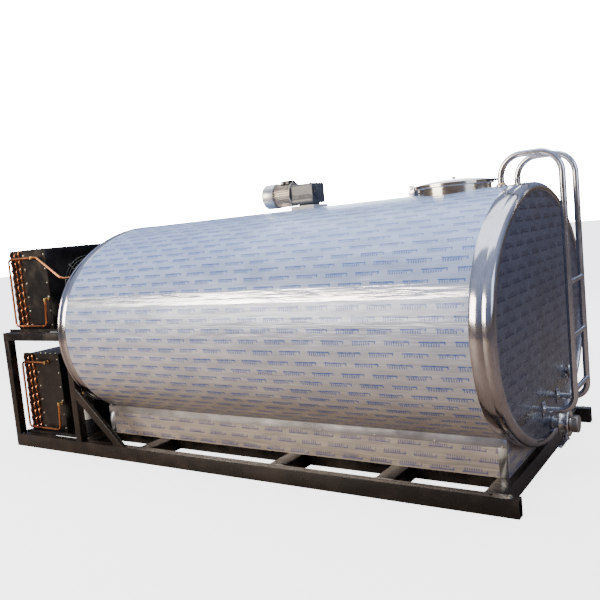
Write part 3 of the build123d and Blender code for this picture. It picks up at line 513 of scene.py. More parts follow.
# %% Piece helpers
def piece(name, bm, finish, body="root", stands_for=(), crisp=32):
    mesh = bpy.data.meshes.new(name)
    bm.to_mesh(mesh)
    bm.free()
    mesh.shade_smooth()
    mesh.set_sharp_from_angle(angle=radians(crisp))
    mesh.materials.append(finishes[finish])
    made = bpy.data.objects.new(name, mesh)
    bpy.context.scene.collection.objects.link(made)
    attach(made, body)
    if stands_for:
        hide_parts(*stands_for)
    print(name, len(mesh.polygons), "faces")
    return made


def middle_of(box):
    """The centre of a box given as its low and high corners."""
    return [(low + high) / 2 for low, high in zip(*box)]


def soften(bm, edges, offset, segments):
    bmesh.ops.bevel(
        bm, geom=edges, offset=offset, offset_type="OFFSET", segments=segments,
        profile=0.5, affect="EDGES", clamp_overlap=True, material=-1,
    )


def slab(bm, low, high, edge=0.002, segments=2):
    """A box with rounded edges between two corners."""
    low = Vector(low)
    high = Vector(high)
    size = high - low
    place = Matrix.Translation((low + high) / 2) @ Matrix.Diagonal((*size, 1))
    verts = bmesh.ops.create_cube(bm, size=1, matrix=place)["verts"]
    edges = list({e for v in verts for e in v.link_edges})
    soften(bm, edges, min(edge, min(size) * 0.45), segments)


AXES = {"X": Vector((1, 0, 0)), "Y": Vector((0, 1, 0)), "Z": Vector((0, 0, 1))}


def turned(bm, outline, base, axis="Z", steps=64, closed=False):
    """Spin an outline of (radius, height) pairs round an axis, as on a lathe."""
    base = Vector(base)
    out = AXES["Y"] if axis == "X" else AXES["X"]
    verts = [bm.verts.new(base + out * r + AXES[axis] * h) for r, h in outline]
    edges = [bm.edges.new(pair) for pair in zip(verts, verts[1:])]
    if closed:
        edges.append(bm.edges.new((verts[-1], verts[0])))
    before = set(bm.faces)
    bmesh.ops.spin(
        bm, geom=verts + edges, cent=base, axis=AXES[axis], angle=2 * pi, steps=steps,
        use_merge=True,
    )
    faces = [f for f in bm.faces if f not in before]
    bmesh.ops.remove_doubles(bm, verts=list({v for f in faces for v in f.verts}), dist=0.00001)
    faces = [f for f in bm.faces if f not in before]
    bmesh.ops.recalc_face_normals(bm, faces=faces)


def run_pipe(bm, points, bends, radius, sides=24, bend_steps=10):
    """A round pipe: straight runs extruded, bends spun, both ends closed."""
    points = [Vector(p) for p in points]
    before = set(bm.faces)
    way = (points[1] - points[0]).normalized()
    place = Matrix.Translation(points[0]) @ way.to_track_quat("Z", "X").to_matrix().to_4x4()
    verts = bmesh.ops.create_circle(bm, cap_ends=False, radius=radius, segments=sides, matrix=place)["verts"]
    ring = list({e for v in verts for e in v.link_edges})
    bmesh.ops.contextual_create(bm, geom=ring)
    here = points[0]
    for number in range(1, len(points)):
        corner = points[number]
        way = (corner - points[number - 1]).normalized()
        last = number == len(points) - 1
        angle = 0 if last else way.angle((points[number + 1] - corner).normalized())
        stop = corner if last else corner - way * bends[number - 1] * tan(angle / 2)
        grown = bmesh.ops.extrude_edge_only(bm, edges=ring)["geom"]
        verts = [g for g in grown if isinstance(g, bmesh.types.BMVert)]
        ring = [g for g in grown if isinstance(g, bmesh.types.BMEdge) and set(g.verts) <= set(verts)]
        bmesh.ops.translate(bm, verts=verts, vec=stop - here)
        here = stop
        if last:
            break
        onward = (points[number + 1] - corner).normalized()
        inward = (onward - way * way.dot(onward)).normalized()
        hub = stop + inward * bends[number - 1]
        axle = way.cross(onward).normalized()
        spun = bmesh.ops.spin(bm, geom=verts + ring, cent=hub, axis=axle, angle=angle, steps=bend_steps)
        verts = [g for g in spun["geom_last"] if isinstance(g, bmesh.types.BMVert)]
        ring = [g for g in spun["geom_last"] if isinstance(g, bmesh.types.BMEdge)]
        here = corner + onward * bends[number - 1] * tan(angle / 2)
    bmesh.ops.contextual_create(bm, geom=ring)
    faces = [f for f in bm.faces if f not in before]
    bmesh.ops.recalc_face_normals(bm, faces=faces)


def hex_head(bm, place, axis, across, height):
    """A hexagon bolt head with its washer, standing on place along a signed axis."""
    way = AXES[axis[-1]] * (-1 if axis[0] == "-" else 1)
    turn = way.to_track_quat("Z", "X").to_matrix().to_4x4()
    washer = (20, 0.80, 0.78, 0.09, 0.18)
    head = (6, 0.577, 0.577, 0.55, 0.75)
    crest = (16, 0.50, 0.40, 0.96, 0.08)
    for sides, foot, top, middle, depth in (washer, head, crest):
        rise = Matrix.Translation(Vector(place) + way * height * middle) @ turn
        bmesh.ops.create_cone(
            bm, cap_ends=True, segments=sides, radius1=across * foot, radius2=across * top,
            depth=height * depth, matrix=rise,
        )


def eased(node, name, finish, edge=0.0015, segments=2, sharp=28):
    """A CAD node's own shape with its sharp edges rounded, held inside its own box."""
    source = frame["nodes"][node]
    bm = bmesh.new()
    bm.from_mesh(source.data)
    bmesh.ops.remove_doubles(bm, verts=bm.verts[:], dist=0.00002)
    bmesh.ops.dissolve_limit(bm, angle_limit=radians(1.0), verts=bm.verts[:], edges=bm.edges[:])
    edges = [e for e in bm.edges if len(e.link_faces) == 2 and e.calc_face_angle(0) > radians(sharp)]
    soften(bm, edges, edge, segments)
    low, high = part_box(node)
    for vert in bm.verts:
        vert.co = [min(max(n, a), b) for n, a, b in zip(vert.co, low, high)]
    return piece(name, bm, finish, source["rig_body"], (node,), 40)


print("piece helpers are ready")

# %% [markdown]
# ## The oval
#
# The tank's section is four arcs: two wide ones over the crown and belly and two
# tight ones at the sides, meeting where their tangents agree. Every ring, sheet and
# plate of the tank is drawn from this one loop, spun arc by arc from a single
# vertex at the belly, and drawn in by an inset where a piece lies deeper.

# %% Oval loop
shell_low, shell_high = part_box("outer_shell")
half_width = shell_high.y
half_height = (shell_high.z - shell_low.z) / 2
axis_z = (shell_high.z + shell_low.z) / 2
corner = radians(51)
arc_span = (half_width - half_height) / (cos(corner) + sin(corner) - 1)
side_centre = arc_span * cos(corner)
crown_centre = arc_span * sin(corner)
side_radius = half_width - side_centre
crown_radius = side_radius + arc_span


def oval_loop(bm, x, inset=0.0, fineness=1):
    """One closed loop of edges on the tank's oval at station x."""
    before = set(bm.edges)
    first = bmesh.ops.create_vert(bm, co=(x, 0, axis_z - half_height + inset))["vert"]
    arcs = [
        ((0, crown_centre), pi / 2 - corner, 10 * fineness),
        ((side_centre, 0), 2 * corner, 18 * fineness),
        ((0, -crown_centre), pi - 2 * corner, 20 * fineness),
        ((-side_centre, 0), 2 * corner, 18 * fineness),
        ((0, crown_centre), pi / 2 - corner, 10 * fineness),
    ]
    end = first
    for (y, z), angle, steps in arcs:
        spun = bmesh.ops.spin(bm, geom=end, cent=(x, y, axis_z + z), axis=(1, 0, 0), angle=angle, steps=steps)
        end = [g for g in spun["geom_last"] if isinstance(g, bmesh.types.BMVert)]
    bmesh.ops.remove_doubles(bm, verts=first + end, dist=0.0001)
    return [e for e in bm.edges if e not in before]


def turn_from_belly(vert):
    """How far round the oval a corner lies; the small start keeps the belly's last."""
    return (atan2(vert.co.y, vert.co.z - axis_z) + pi - 0.01) % (2 * pi)


def oval_band(bm, stations, fineness=1, closed=True):
    """Join oval loops given as (x, inset) pairs into one skin, corner to corner.

    bridge_loops twists two rings that lie in one plane, so the faces are made here.
    """
    rings = []
    for x, inset in stations:
        ring = {v for e in oval_loop(bm, x, inset, fineness) for v in e.verts}
        rings.append(sorted(ring, key=turn_from_belly))
    pairs = list(zip(rings, rings[1:]))
    if closed:
        pairs.append((rings[-1], rings[0]))
    for first, second in pairs:
        for number, corner in enumerate(first):
            bm.faces.new((first[number - 1], corner, second[number], second[number - 1]))
    bmesh.ops.recalc_face_normals(bm, faces=bm.faces[:])


def girth(y, z):
    """Length along the oval from the belly to a point on it, in metres."""
    up = z - axis_z
    side = abs(y) - side_centre
    lean = atan2(up, side)
    belly = crown_radius * (pi / 2 - corner)
    if abs(lean) <= corner and side > 0:
        return belly + side_radius * (lean + corner)
    if up < 0:
        return crown_radius * atan2(abs(y), crown_centre - up)
    crown_angle = pi / 2 - corner - atan2(abs(y), up + crown_centre)
    return belly + side_radius * 2 * corner + crown_radius * crown_angle


print("oval", round(2 * half_width, 3), "by", round(2 * half_height, 3), "m")

# %% [markdown]
# ## The shell
#
# The outer sheet is one smooth wrap from rim to rim. It carries its own map in
# metres, length one way and girth the other, so that the printed film runs round
# it without stretching. The manway and the agitator pass through the crown, so two
# round holes are cut there with a Boolean modifier, which is then applied.

# %% Shell sheet
def cut_round_holes(made, holes):
    bm = bmesh.new()
    for place, radius in holes:
        bmesh.ops.create_cone(
            bm, cap_ends=True, segments=72, radius1=radius, radius2=radius, depth=0.4,
            matrix=Matrix.Translation(place),
        )
    mesh = bpy.data.meshes.new("hole_cutter")
    bm.to_mesh(mesh)
    bm.free()
    cutter = bpy.data.objects.new("hole_cutter", mesh)
    bpy.context.scene.collection.objects.link(cutter)
    trim = made.modifiers.new("holes", "BOOLEAN")
    trim.operation = "DIFFERENCE"
    trim.solver = "EXACT"
    trim.object = cutter
    graph = bpy.context.evaluated_depsgraph_get()
    whole = bpy.data.meshes.new_from_object(made.evaluated_get(graph))
    made.modifiers.clear()
    made.data = whole
    bpy.data.objects.remove(cutter)


manway_low, manway_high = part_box("manway_neck")
manway_x = (manway_low.x + manway_high.x) / 2
neck_top = manway_high.z
neck_radius = 0.225
agitator_x = middle_of(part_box("agitator_nozzle"))[0]
nozzle_radius = 0.045
crown = shell_high.z

bm = bmesh.new()
sheet = 0.002
oval_band(bm, [(shell_low.x, 0), (shell_high.x, 0), (shell_high.x, sheet), (shell_low.x, sheet)], 3)
metre_map = bm.loops.layers.uv.new("metres")
for face in bm.faces:
    side = 1 if face.calc_center_median().y >= 0 else -1
    for loop in face.loops:
        spot = loop.vert.co
        loop[metre_map].uv = (spot.x, side * girth(spot.y, spot.z))
shell = piece("shell_sheet", bm, "shell_film", "root", ("outer_shell",))
holes = [((manway_x, 0, crown), neck_radius), ((agitator_x, 0, crown), nozzle_radius)]
cut_round_holes(shell, holes)
shell.data.set_sharp_from_angle(angle=radians(32))
print("shell", len(shell.data.polygons), "faces after cutting")

# %% [markdown]
# ## Rims and end plates
#
# A rolled ring closes each end of the shell: a flat polished collar laps over the
# sheet, then the ring rounds over and turns back to the recessed end plate. Each is
# a chain of oval loops joined in order, which keeps its section crisp all round.

# %% Rims
def rim_outline(back, front, lap_end, inner, nose, facing):
    """Stations of a ring's section; facing is 1 at the ladder end and -1 behind."""
    lap = -0.003
    stations = [(back, 0.0001), (back, lap + 0.0006), (back + facing * 0.0006, lap)]
    stations += [(lap_end - facing * 0.004, lap), (lap_end - facing * 0.001, lap + 0.0018)]
    stations += [(lap_end + facing * 0.001, lap + 0.0018), (lap_end + facing * 0.004, lap)]
    stations += [(front - facing * nose, lap)]
    for step in range(1, 9):
        turn = step / 8 * pi / 2
        stations.append((front - facing * nose * (1 - sin(turn)), lap + nose * (1 - cos(turn))))
    stations += [(front, inner - 0.006)]
    for step in range(1, 5):
        turn = step / 4 * pi / 2
        stations.append((front - facing * 0.006 * (1 - cos(turn)), inner - 0.006 * (1 - sin(turn))))
    return stations + [(lap_end, inner), (lap_end, 0.0001)]


plate_inset = 0.048
rim_low, rim_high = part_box("front_rim")
bm = bmesh.new()
oval_band(bm, rim_outline(rim_low.x, rim_high.x, shell_high.x, plate_inset, 0.033, 1), 2)
piece("front_rolled_rim", bm, "rim_steel", "root", ("front_rim",), 50)
rim_low, rim_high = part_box("rear_rim")
bm = bmesh.new()
oval_band(bm, rim_outline(rim_high.x, rim_low.x, shell_low.x, plate_inset, 0.018, -1), 2)
piece("rear_rolled_rim", bm, "rim_steel", "root", ("rear_rim",), 50)

# %% [markdown]
# The end plates are flat sheets filling the rims. Both wear the same printed film
# in a darker tone, which is painted shade, with one bare seam low down where two
# sheets meet.

# %% End plates
for node, name in (("front_end_plate", "ladder_end_sheet"), ("rear_end_plate", "rack_end_sheet")):
    low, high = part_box(node)
    bm = bmesh.new()
    oval_band(bm, [(low.x, plate_inset), (high.x, plate_inset)], 2, closed=False)
    middle = (low.x + high.x) / 2
    rims = [e for e in bm.edges if e.is_boundary]
    bmesh.ops.contextual_create(bm, geom=[e for e in rims if e.verts[0].co.x < middle])
    bmesh.ops.contextual_create(bm, geom=[e for e in bm.edges if e.is_boundary])
    bmesh.ops.recalc_face_normals(bm, faces=bm.faces[:])
    piece(name, bm, "shaded_end_film", "root", (node,))

# %% [markdown]
# ## Skid and skirt
#
# The skid is welded from black box section. Its CAD shapes are right, so each is
# taken as it is and only its sharp edges are rounded, because real tube has a
# radius and that thin bright line is what makes it read as steel. The skirt above
# it hides the tank's saddles, with bare strips along its joints.

# %% Skid and skirt
eased("skid_rails", "skid_rail_pair", "black_skid_paint", 0.005, 3)
eased("skid_cross_members", "skid_members", "black_skid_paint", 0.004, 2)
eased("tank_saddles", "saddle_plates", "black_sheet_paint", 0.001, 1)
eased("skirt_panels", "skirt_sheets", "skirt_film", 0.0006, 1)
eased("skirt_trim", "skirt_strips", "brushed_steel", 0.0004, 1)

bm = bmesh.new()
skid_low, skid_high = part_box("skid_rails")
trim_low, trim_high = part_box("skirt_trim")
for side in (-1, 1):
    way = "Y" if side > 0 else "-Y"
    for step in range(9):
        x = trim_low.x + 0.025 + step * (trim_high.x - trim_low.x - 0.05) / 8
        hex_head(bm, (x, side * trim_high.y, trim_high.z - 0.045), way, 0.010, 0.004)
    for x in (skid_low.x + 0.05, skid_high.x - 0.05):
        hex_head(bm, (x, side * (skid_high.y - 0.03), skid_high.z), "Z", 0.019, 0.010)
piece("skirt_and_skid_bolts", bm, "zinc_bolts")

# %% [markdown]
# Welds are small but tell the eye that the skid is one welded frame. Each is a
# painted bead along the joint of a cross member and a rail, made as a short thin
# pipe sunk halfway into the corner.

# %% Skid welds
bm = bmesh.new()
members_from_front = (3.250, 2.600, 1.440, 0.690, 0.050)
for behind in members_from_front:
    x = shell_high.x - behind
    for side in (-1, 1):
        y = side * (skid_high.y - 0.060)
        for edge in (-0.055, 0.055):
            run_pipe(bm, [(x + edge, y, 0.004), (x + edge, y, skid_high.z)], [], 0.0042, 8)
        top = skid_high.z - 0.001
        run_pipe(bm, [(x - 0.055, y, top), (x + 0.055, y, top)], [], 0.0042, 8)
piece("skid_weld_beads", bm, "black_skid_paint")

# %% [markdown]
# ## Manway
#
# The manway is a short round neck with a turned rim, a rubber ring, and a shallow
# domed lid with a rolled edge. All three are lathe work: an outline of radius and
# height spun round the neck's axis. The lid and its hinge arm ride on the lid's
# body, so they open together.

# %% Manway neck and gasket
bm = bmesh.new()
bore = 0.222
neck = [
    (bore, crown - 0.065), (neck_radius, crown - 0.065), (neck_radius, neck_top - 0.008),
    (0.228, neck_top - 0.006), (0.234, neck_top - 0.006), (0.236, neck_top - 0.004),
    (0.236, neck_top - 0.001), (0.235, neck_top), (bore, neck_top),
]
turned(bm, neck, (manway_x, 0, 0), "Z", 96, closed=True)
piece("manway_collar", bm, "polished_lid", "root", ("manway_neck",))
gasket_low, gasket_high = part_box("manway_gasket")
bm = bmesh.new()
low, high = gasket_low.z, gasket_high.z
ring = [
    (bore, low), (0.236, low), (0.2365, low + 0.002), (0.2365, high - 0.002),
    (0.235, high), (0.229, high - 0.0008), (bore, high),
]
turned(bm, ring, (manway_x, 0, 0), "Z", 96, closed=True)
piece("gasket_ring", bm, "seal_rubber", "root", ("manway_gasket",))

# %% Lid
bm = bmesh.new()
lid_edge = 0.243
seat = gasket_high.z + 0.0003
dome = 0.026
edge_z = seat + 0.010
outer = [(0.0, edge_z + dome)]
for step in range(1, 13):
    r = step / 12 * (lid_edge - 0.012)
    outer.append((r, edge_z + dome * (1 - (r / lid_edge) ** 2)))
outer += [
    (0.2345, edge_z - 0.0005), (0.2375, edge_z - 0.0005), (0.2405, edge_z + 0.0006),
    (lid_edge, edge_z - 0.002), (lid_edge, seat - 0.0075), (0.2415, seat - 0.008),
    (0.240, seat - 0.0075), (0.240, seat),
]
hollow = 0.224
inner = [(hollow, seat), (hollow, seat + 0.003)]
for step in range(7, -1, -1):
    r = step / 8 * hollow
    inner.append((r, seat + 0.005 + dome * 0.9 * (1 - (r / hollow) ** 2)))
turned(bm, outer + inner, (manway_x, 0, 0), "Z", 96)
piece("domed_lid", bm, "polished_lid", "lid", ("manway_lid",))

hinge_x, _, hinge_z = middle_of(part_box("lid_hinge_pin"))
bm = bmesh.new()
slab(bm, (hinge_x + 0.007, -0.028, hinge_z - 0.004), (manway_x - 0.238, 0.028, hinge_z + 0.004), 0.002)
sleeve = [
    (0.00605, -0.028), (0.0095, -0.028), (0.010, -0.0275),
    (0.010, 0.0275), (0.0095, 0.028), (0.00605, 0.028),
]
turned(bm, sleeve, (hinge_x, 0, hinge_z), "Y", 32, closed=True)
piece("lid_hinge_arm", bm, "polished_lid", "lid", ("manway_lid",))
eased("lid_hinge_bracket", "hinge_stand", "polished_tube", 0.0015, 2)
eased("lid_hinge_pin", "hinge_axle", "shaft_steel", 0.0008, 2)

grip_low, grip_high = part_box("lid_handle")
bm = bmesh.new()
grip_x = grip_high.x - 0.006
grip_z = (grip_low.z + grip_high.z) / 2
corners = [(grip_x - 0.030, -0.048), (grip_x, -0.048), (grip_x, 0.048), (grip_x - 0.030, 0.048)]
run_pipe(bm, [(x, y, grip_z) for x, y in corners], [0.012, 0.012], 0.006, 20, 8)
piece("lid_grip", bm, "black_plastic", "lid", ("lid_handle",))
vent_low, vent_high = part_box("lid_vent")
bm = bmesh.new()
top, base = vent_high.z, vent_low.z
knob = [
    (0.0, top), (0.010, top), (0.0135, top - 0.0012), (0.015, top - 0.004),
    (0.0135, top - 0.0075), (0.009, top - 0.009), (0.009, base + 0.001), (0.012, base),
    (0.0, base),
]
turned(bm, knob, (manway_x, 0, 0), "Z", 40)
piece("vent_knob", bm, "zinc_bolts", "lid", ("lid_vent",))

# %% [markdown]
# ## Agitator drive
#
# On the crown a white cast pedestal carries a worm gearbox, and a finned motor
# stands out of its side with a cowl over its fan. These shapes carry fits and
# bores, so the CAD ones stay and get soft edges; what is added is what a fitter
# would see next: cover screws, an oil plug, and a cable gland that waits for its
# cable.

# %% Agitator drive
eased("agitator_nozzle", "agitator_pedestal", "white_casting", 0.003, 3)
eased("nozzle_bolts", "pedestal_bolts", "zinc_bolts", 0.0006, 1)
eased("gearbox_housing", "worm_gearbox", "gear_enamel", 0.0035, 3)
eased("gearbox_cover", "worm_cover", "gear_enamel", 0.0012, 2)
eased("motor_frame", "finned_motor", "cast_aluminium", 0.0006, 1)
eased("fan_cowl", "motor_cowl", "cowl_silver", 0.0006, 1)
eased("terminal_box", "motor_terminal_box", "black_sheet_paint", 0.002, 2)

box_low, box_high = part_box("terminal_box")
gear_low, gear_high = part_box("gearbox_housing")
motor_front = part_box("motor_frame")[1].x
motor_y = middle_of(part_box("motor_frame"))[1]
motor_z = middle_of(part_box("fan_cowl"))[2]
bolt_circle = 0.076
bm = bmesh.new()
for x in (box_low.x + 0.010, box_high.x - 0.010):
    for y in (box_low.y + 0.010, box_high.y - 0.010):
        bmesh.ops.create_cone(
            bm, cap_ends=True, segments=14, radius1=0.0032, radius2=0.0028, depth=0.0006,
            matrix=Matrix.Translation((x, y, box_high.z - 0.0004)),
        )
gland = (box_low.x + 0.030, box_low.y, box_low.z + 0.016)
collar = [
    (0.0, -0.022), (0.006, -0.022), (0.0085, -0.019), (0.0085, -0.012),
    (0.0115, -0.011), (0.0115, 0.001), (0.0, 0.001),
]
turned(bm, collar, gland, "Y", 12)
for y in (gear_low.y + 0.02, gear_high.y - 0.02):
    for x in (gear_low.x + 0.02, gear_high.x - 0.02):
        hex_head(bm, (x, y, gear_high.z - 0.0005), "Z", 0.010, 0.005)
hex_head(bm, (gear_high.x - 0.045, gear_high.y - 0.055, gear_high.z - 0.0005), "Z", 0.017, 0.007)
for turn in range(6):
    angle = radians(60 * turn + 30)
    y = motor_y + bolt_circle * cos(angle)
    z = motor_z + bolt_circle * sin(angle)
    hex_head(bm, (motor_front - 0.002, y, z), "-X", 0.009, 0.008)
piece("drive_screws_and_gland", bm, "zinc_bolts")

# %% [markdown]
# ## Ladder
#
# The ladder is polished tube bent like a swan's neck: up the end, over the rim and
# down to two feet on the crown. Each rail is one pipe, its runs extruded and its
# bends spun. Rungs are straight tubes with a small weld ring at each end. Brass
# collars sit where the rails meet the crown, and steel ones on the end plate.

# %% Ladder
rails_low, rails_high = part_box("ladder_rails")
rung_low, rung_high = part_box("ladder_rungs")
mount_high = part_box("ladder_mounts")[1]
rail_radius = 0.019
rail_y = rails_high.y - rail_radius
rail_x = rails_high.x - rail_radius
hoop_z = rails_high.z - rail_radius
foot_x = rails_low.x + rail_radius
foot_z = rails_low.z + rail_radius
plate_x = mount_high.x
pad_top = mount_high.z
foot_low_z = 0.368
rung_heights = (0.488, 0.798, 1.108)
bm = bmesh.new()
for side in (-1, 1):
    y = side * rail_y
    way = [(foot_x, foot_z), (foot_x, hoop_z), (rail_x, hoop_z), (rail_x, foot_low_z), (plate_x, foot_low_z)]
    run_pipe(bm, [(x, y, z) for x, z in way], [0.125, 0.125, 0.090], rail_radius, 32, 14)
piece("ladder_swan_necks", bm, "polished_tube", "root", ("ladder_rails",))

bm = bmesh.new()
rung_radius = (rung_high.x - rung_low.x) / 2
for z in rung_heights:
    run_pipe(bm, [(rail_x, -rail_y + 0.016, z), (rail_x, rail_y - 0.016, z)], [], rung_radius, 32)
    for side in (-1, 1):
        ring = [(-0.002, -0.004), (0.003, -0.003), (0.004, 0.0), (0.002, 0.004), (-0.002, 0.004)]
        bead = [(rung_radius + r, -side * h) for r, h in ring]
        turned(bm, bead, (rail_x, side * (rail_y - 0.017), z), "Y", 28, closed=True)
piece("ladder_rung_tubes", bm, "polished_tube", "root", ("ladder_rungs",))
eased("ladder_mounts", "ladder_feet_and_plates", "brushed_steel", 0.0015, 2)

flare = [(0.0002, 0.0), (0.009, 0.0), (0.0095, 0.003), (0.004, 0.010), (0.0002, 0.013)]
collar = [(rail_radius + r, h) for r, h in flare]
bm = bmesh.new()
for side in (-1, 1):
    turned(bm, collar, (foot_x, side * rail_y, pad_top - 0.0005), "Z", 40, closed=True)
piece("ladder_collars", bm, "brass")
bm = bmesh.new()
for side in (-1, 1):
    y = side * rail_y
    turned(bm, collar, (plate_x - 0.0005, y, foot_low_z), "X", 40, closed=True)
    for z in (foot_low_z - 0.034, foot_low_z + 0.034):
        hex_head(bm, (plate_x - 0.0004, y, z), "X", 0.013, 0.008)
piece("ladder_foot_bolts", bm, "shaft_steel")

# %% [markdown]
# ## Outlet and thermometer
#
# Low on the ladder end a pipe comes out through a welded boss into a butterfly
# valve, with a lever below it and a screw cap on its mouth. Beside it sits a dial
# thermometer. Their bores and stems are CAD work and only get soft edges; the
# dial gets a white face with plain ticks, and the lever a rubber grip.

# %% Outlet
eased("outlet_pipe", "outlet_tube", "brushed_steel", 0.0003, 1)
eased("outlet_boss", "outlet_weld_boss", "brushed_steel", 0.0010, 2)
eased("valve_body", "butterfly_body", "polished_lid", 0.0010, 2)
eased("valve_disc", "butterfly_disc", "vessel_steel", 0.0003, 1)
eased("valve_lever", "butterfly_lever", "brushed_steel", 0.0015, 2)
eased("outlet_cap", "outlet_screw_cap", "cast_aluminium", 0.0012, 2)

cap_z = middle_of(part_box("outlet_cap"))[2]
valve_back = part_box("valve_body")[0].x
bolt_circle = 0.064
bm = bmesh.new()
for turn in range(4):
    angle = radians(90 * turn + 45)
    spot = (valve_back + 0.0002, bolt_circle * cos(angle), cap_z + bolt_circle * sin(angle))
    hex_head(bm, spot, "-X", 0.010, 0.006)
piece("valve_bolts", bm, "zinc_bolts")
bm = bmesh.new()
x, _, z = middle_of(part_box("valve_lever"))
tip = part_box("valve_lever")[0].y
run_pipe(bm, [(x, tip + 0.012, z), (x, tip + 0.075, z)], [], 0.0125, 24)
piece("lever_grip", bm, "seal_rubber", "valve_spindle")

# %% Thermometer
eased("thermometer_case", "dial_case", "polished_lid", 0.0008, 2)
glass = frame["nodes"]["thermometer_glass"].data
glass.materials.clear()
glass.materials.append(finishes["dial_glass"])
eased("thermometer_needle", "dial_needle", "red_plastic", 0.0003, 1)
dial_y, dial_z = middle_of(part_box("thermometer_case"))[1:]
face_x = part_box("thermometer_needle")[0].x - 0.0016
bm = bmesh.new()
disc = [(0.0036, -0.001), (0.0445, -0.001), (0.0445, 0.0), (0.0036, 0.0)]
turned(bm, disc, (face_x, dial_y, dial_z), "X", 64, closed=True)
piece("dial_plate", bm, "dial_face")
bm = bmesh.new()
for step in range(31):
    angle = radians(225 - step * 9)
    long_tick = step % 5 == 0
    inner = 0.033 if long_tick else 0.037
    half = 0.0007 if long_tick else 0.0004
    before = set(bm.verts)
    slab(bm, (face_x - 0.0001, -half, inner), (face_x + 0.0003, half, 0.041), 0.0001, 1)
    fresh = [v for v in bm.verts if v not in before]
    turn = Matrix.Translation((0, dial_y, dial_z)) @ Matrix.Rotation(angle - pi / 2, 4, "X")
    bmesh.ops.transform(bm, matrix=turn, verts=fresh)
piece("dial_ticks", bm, "black_plastic")

# %% [markdown]
# ## Rack and cooling units
#
# The rack is the same black box section as the skid. Each of its two units has a
# finned coil in front, a sheet-metal shroud behind it, two fans that blow towards
# the tank, a hermetic compressor and a liquid receiver. The fins are far too thin
# to model one by one, so they are a fine stripe in the finish, with painted shade
# darkening the gaps between them, while the copper bends that join the coil's
# tubes are real half rings.

# %% Rack and trays
eased("unit_frame", "rack_frame", "black_skid_paint", 0.004, 2)
eased("unit_trays", "rack_trays", "black_sheet_paint", 0.0008, 1)
eased("fan_shrouds", "coil_shrouds", "black_sheet_paint", 0.0006, 1)
eased("fan_motors", "fan_motor_bodies", "can_enamel", 0.0015, 2)

coil_low, coil_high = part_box("condenser_coils")
shroud_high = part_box("fan_shrouds")[1]
coil_height = 0.650
levels = (coil_low.z, coil_high.z - coil_height)
print("coils stand at", [round(z, 3) for z in levels])

# %% Coils
bm = bmesh.new()
for base in levels:
    low = (coil_low.x + 0.008, coil_low.y + 0.020, base)
    high = (coil_high.x - 0.008, coil_high.y - 0.020, base + 0.640)
    slab(bm, low, high, 0.001, 1)
piece("finned_cores", bm, "coil_fins", "root", ("condenser_coils",))
bm = bmesh.new()
for base in levels:
    for side in (-1, 1):
        ends = sorted((side * coil_high.y, side * (coil_high.y - 0.020)))
        slab(bm, (coil_low.x, ends[0], base), (coil_high.x, ends[1], base + coil_height), 0.0015, 1)
piece("coil_tube_sheets", bm, "black_sheet_paint", "root", ("condenser_coils",))


def return_bend(bm, x, side, z):
    """A half ring of copper tube that leaves the tube sheet and turns back into it."""
    centre = (x, side * coil_high.y, z)
    before = set(bm.faces)
    place = Matrix.Translation((x, side * coil_high.y, z - 0.016)) @ Matrix.Rotation(pi / 2, 4, "X")
    tube = bmesh.ops.create_circle(bm, cap_ends=False, radius=0.0052, segments=10, matrix=place)
    ring = list({e for v in tube["verts"] for e in v.link_edges})
    bmesh.ops.spin(bm, geom=tube["verts"] + ring, cent=centre, axis=(side, 0, 0), angle=pi, steps=7)
    fresh = [f for f in bm.faces if f not in before]
    away = Matrix.Translation(centre)
    taller = away @ Matrix.Diagonal((1.15, 1, 1.5, 1)) @ away.inverted()
    bmesh.ops.transform(bm, matrix=taller, verts=list({v for f in fresh for v in f.verts}))
    bmesh.ops.recalc_face_normals(bm, faces=fresh)


bm = bmesh.new()
for base in levels:
    for side in (-1, 1):
        for column in range(3):
            x = coil_low.x + 0.160 * (column + 0.5) / 3
            for row in range(10):
                z = base + 0.040 + row * 0.064 - (column % 2) * 0.016
                if z + 0.021 <= base + coil_height:
                    return_bend(bm, x, side, z)
piece("coil_bends", bm, "copper_tube", "root", ("coil_return_bends",))

# %% [markdown]
# Every fan opening gets a guard: rings of wire on four spokes, made as thin pipes
# and lathe rings. The shrouds get a row of bright screws down their side flanges,
# which is what catches the light on a dusty black box.

# %% Guards and screws
bm = bmesh.new()
fan_y = -middle_of(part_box("upper_near_fan"))[1]
fan_height = 0.325
round_the_wire = [number * pi / 3 for number in range(6)]
for base in levels:
    z = base + fan_height
    for side in (-1, 1):
        hub = (shroud_high.x - 0.001, side * fan_y, z)
        for step in range(9):
            r = 0.040 + step * 0.0245
            wire = [(r + 0.0016 * cos(a), 0.0035 + 0.0016 * sin(a)) for a in round_the_wire]
            turned(bm, wire, hub, "X", 48, closed=True)
        for turn in range(4):
            way = Vector((0, cos(radians(45 + 90 * turn)), sin(radians(45 + 90 * turn))))
            spoke = [Vector(hub) + way * reach + Vector((0.0065, 0, 0)) for reach in (0.036, 0.246)]
            run_pipe(bm, spoke, [], 0.002, 8)
            foot = Vector(hub) + way * 0.247
            low = foot + Vector((0.0005, -0.007, -0.007))
            slab(bm, low, foot + Vector((0.0075, 0.007, 0.007)), 0.001, 1)
piece("fan_guards", bm, "zinc_bolts")

bm = bmesh.new()
for base in levels:
    for side in (-1, 1):
        way = "Y" if side > 0 else "-Y"
        for step in range(6):
            z = base + 0.045 + step * 0.112
            hex_head(bm, (coil_high.x + 0.018, side * coil_high.y, z), way, 0.012, 0.007)
            hex_head(bm, (shroud_high.x - 0.018, side * coil_high.y, z), way, 0.010, 0.006)
        for step in range(4):
            x = coil_high.x + 0.05 + step * 0.062
            hex_head(bm, (x, side * (coil_high.y - 0.02), base + coil_height), "Z", 0.010, 0.006)
piece("shroud_screws", bm, "zinc_bolts")

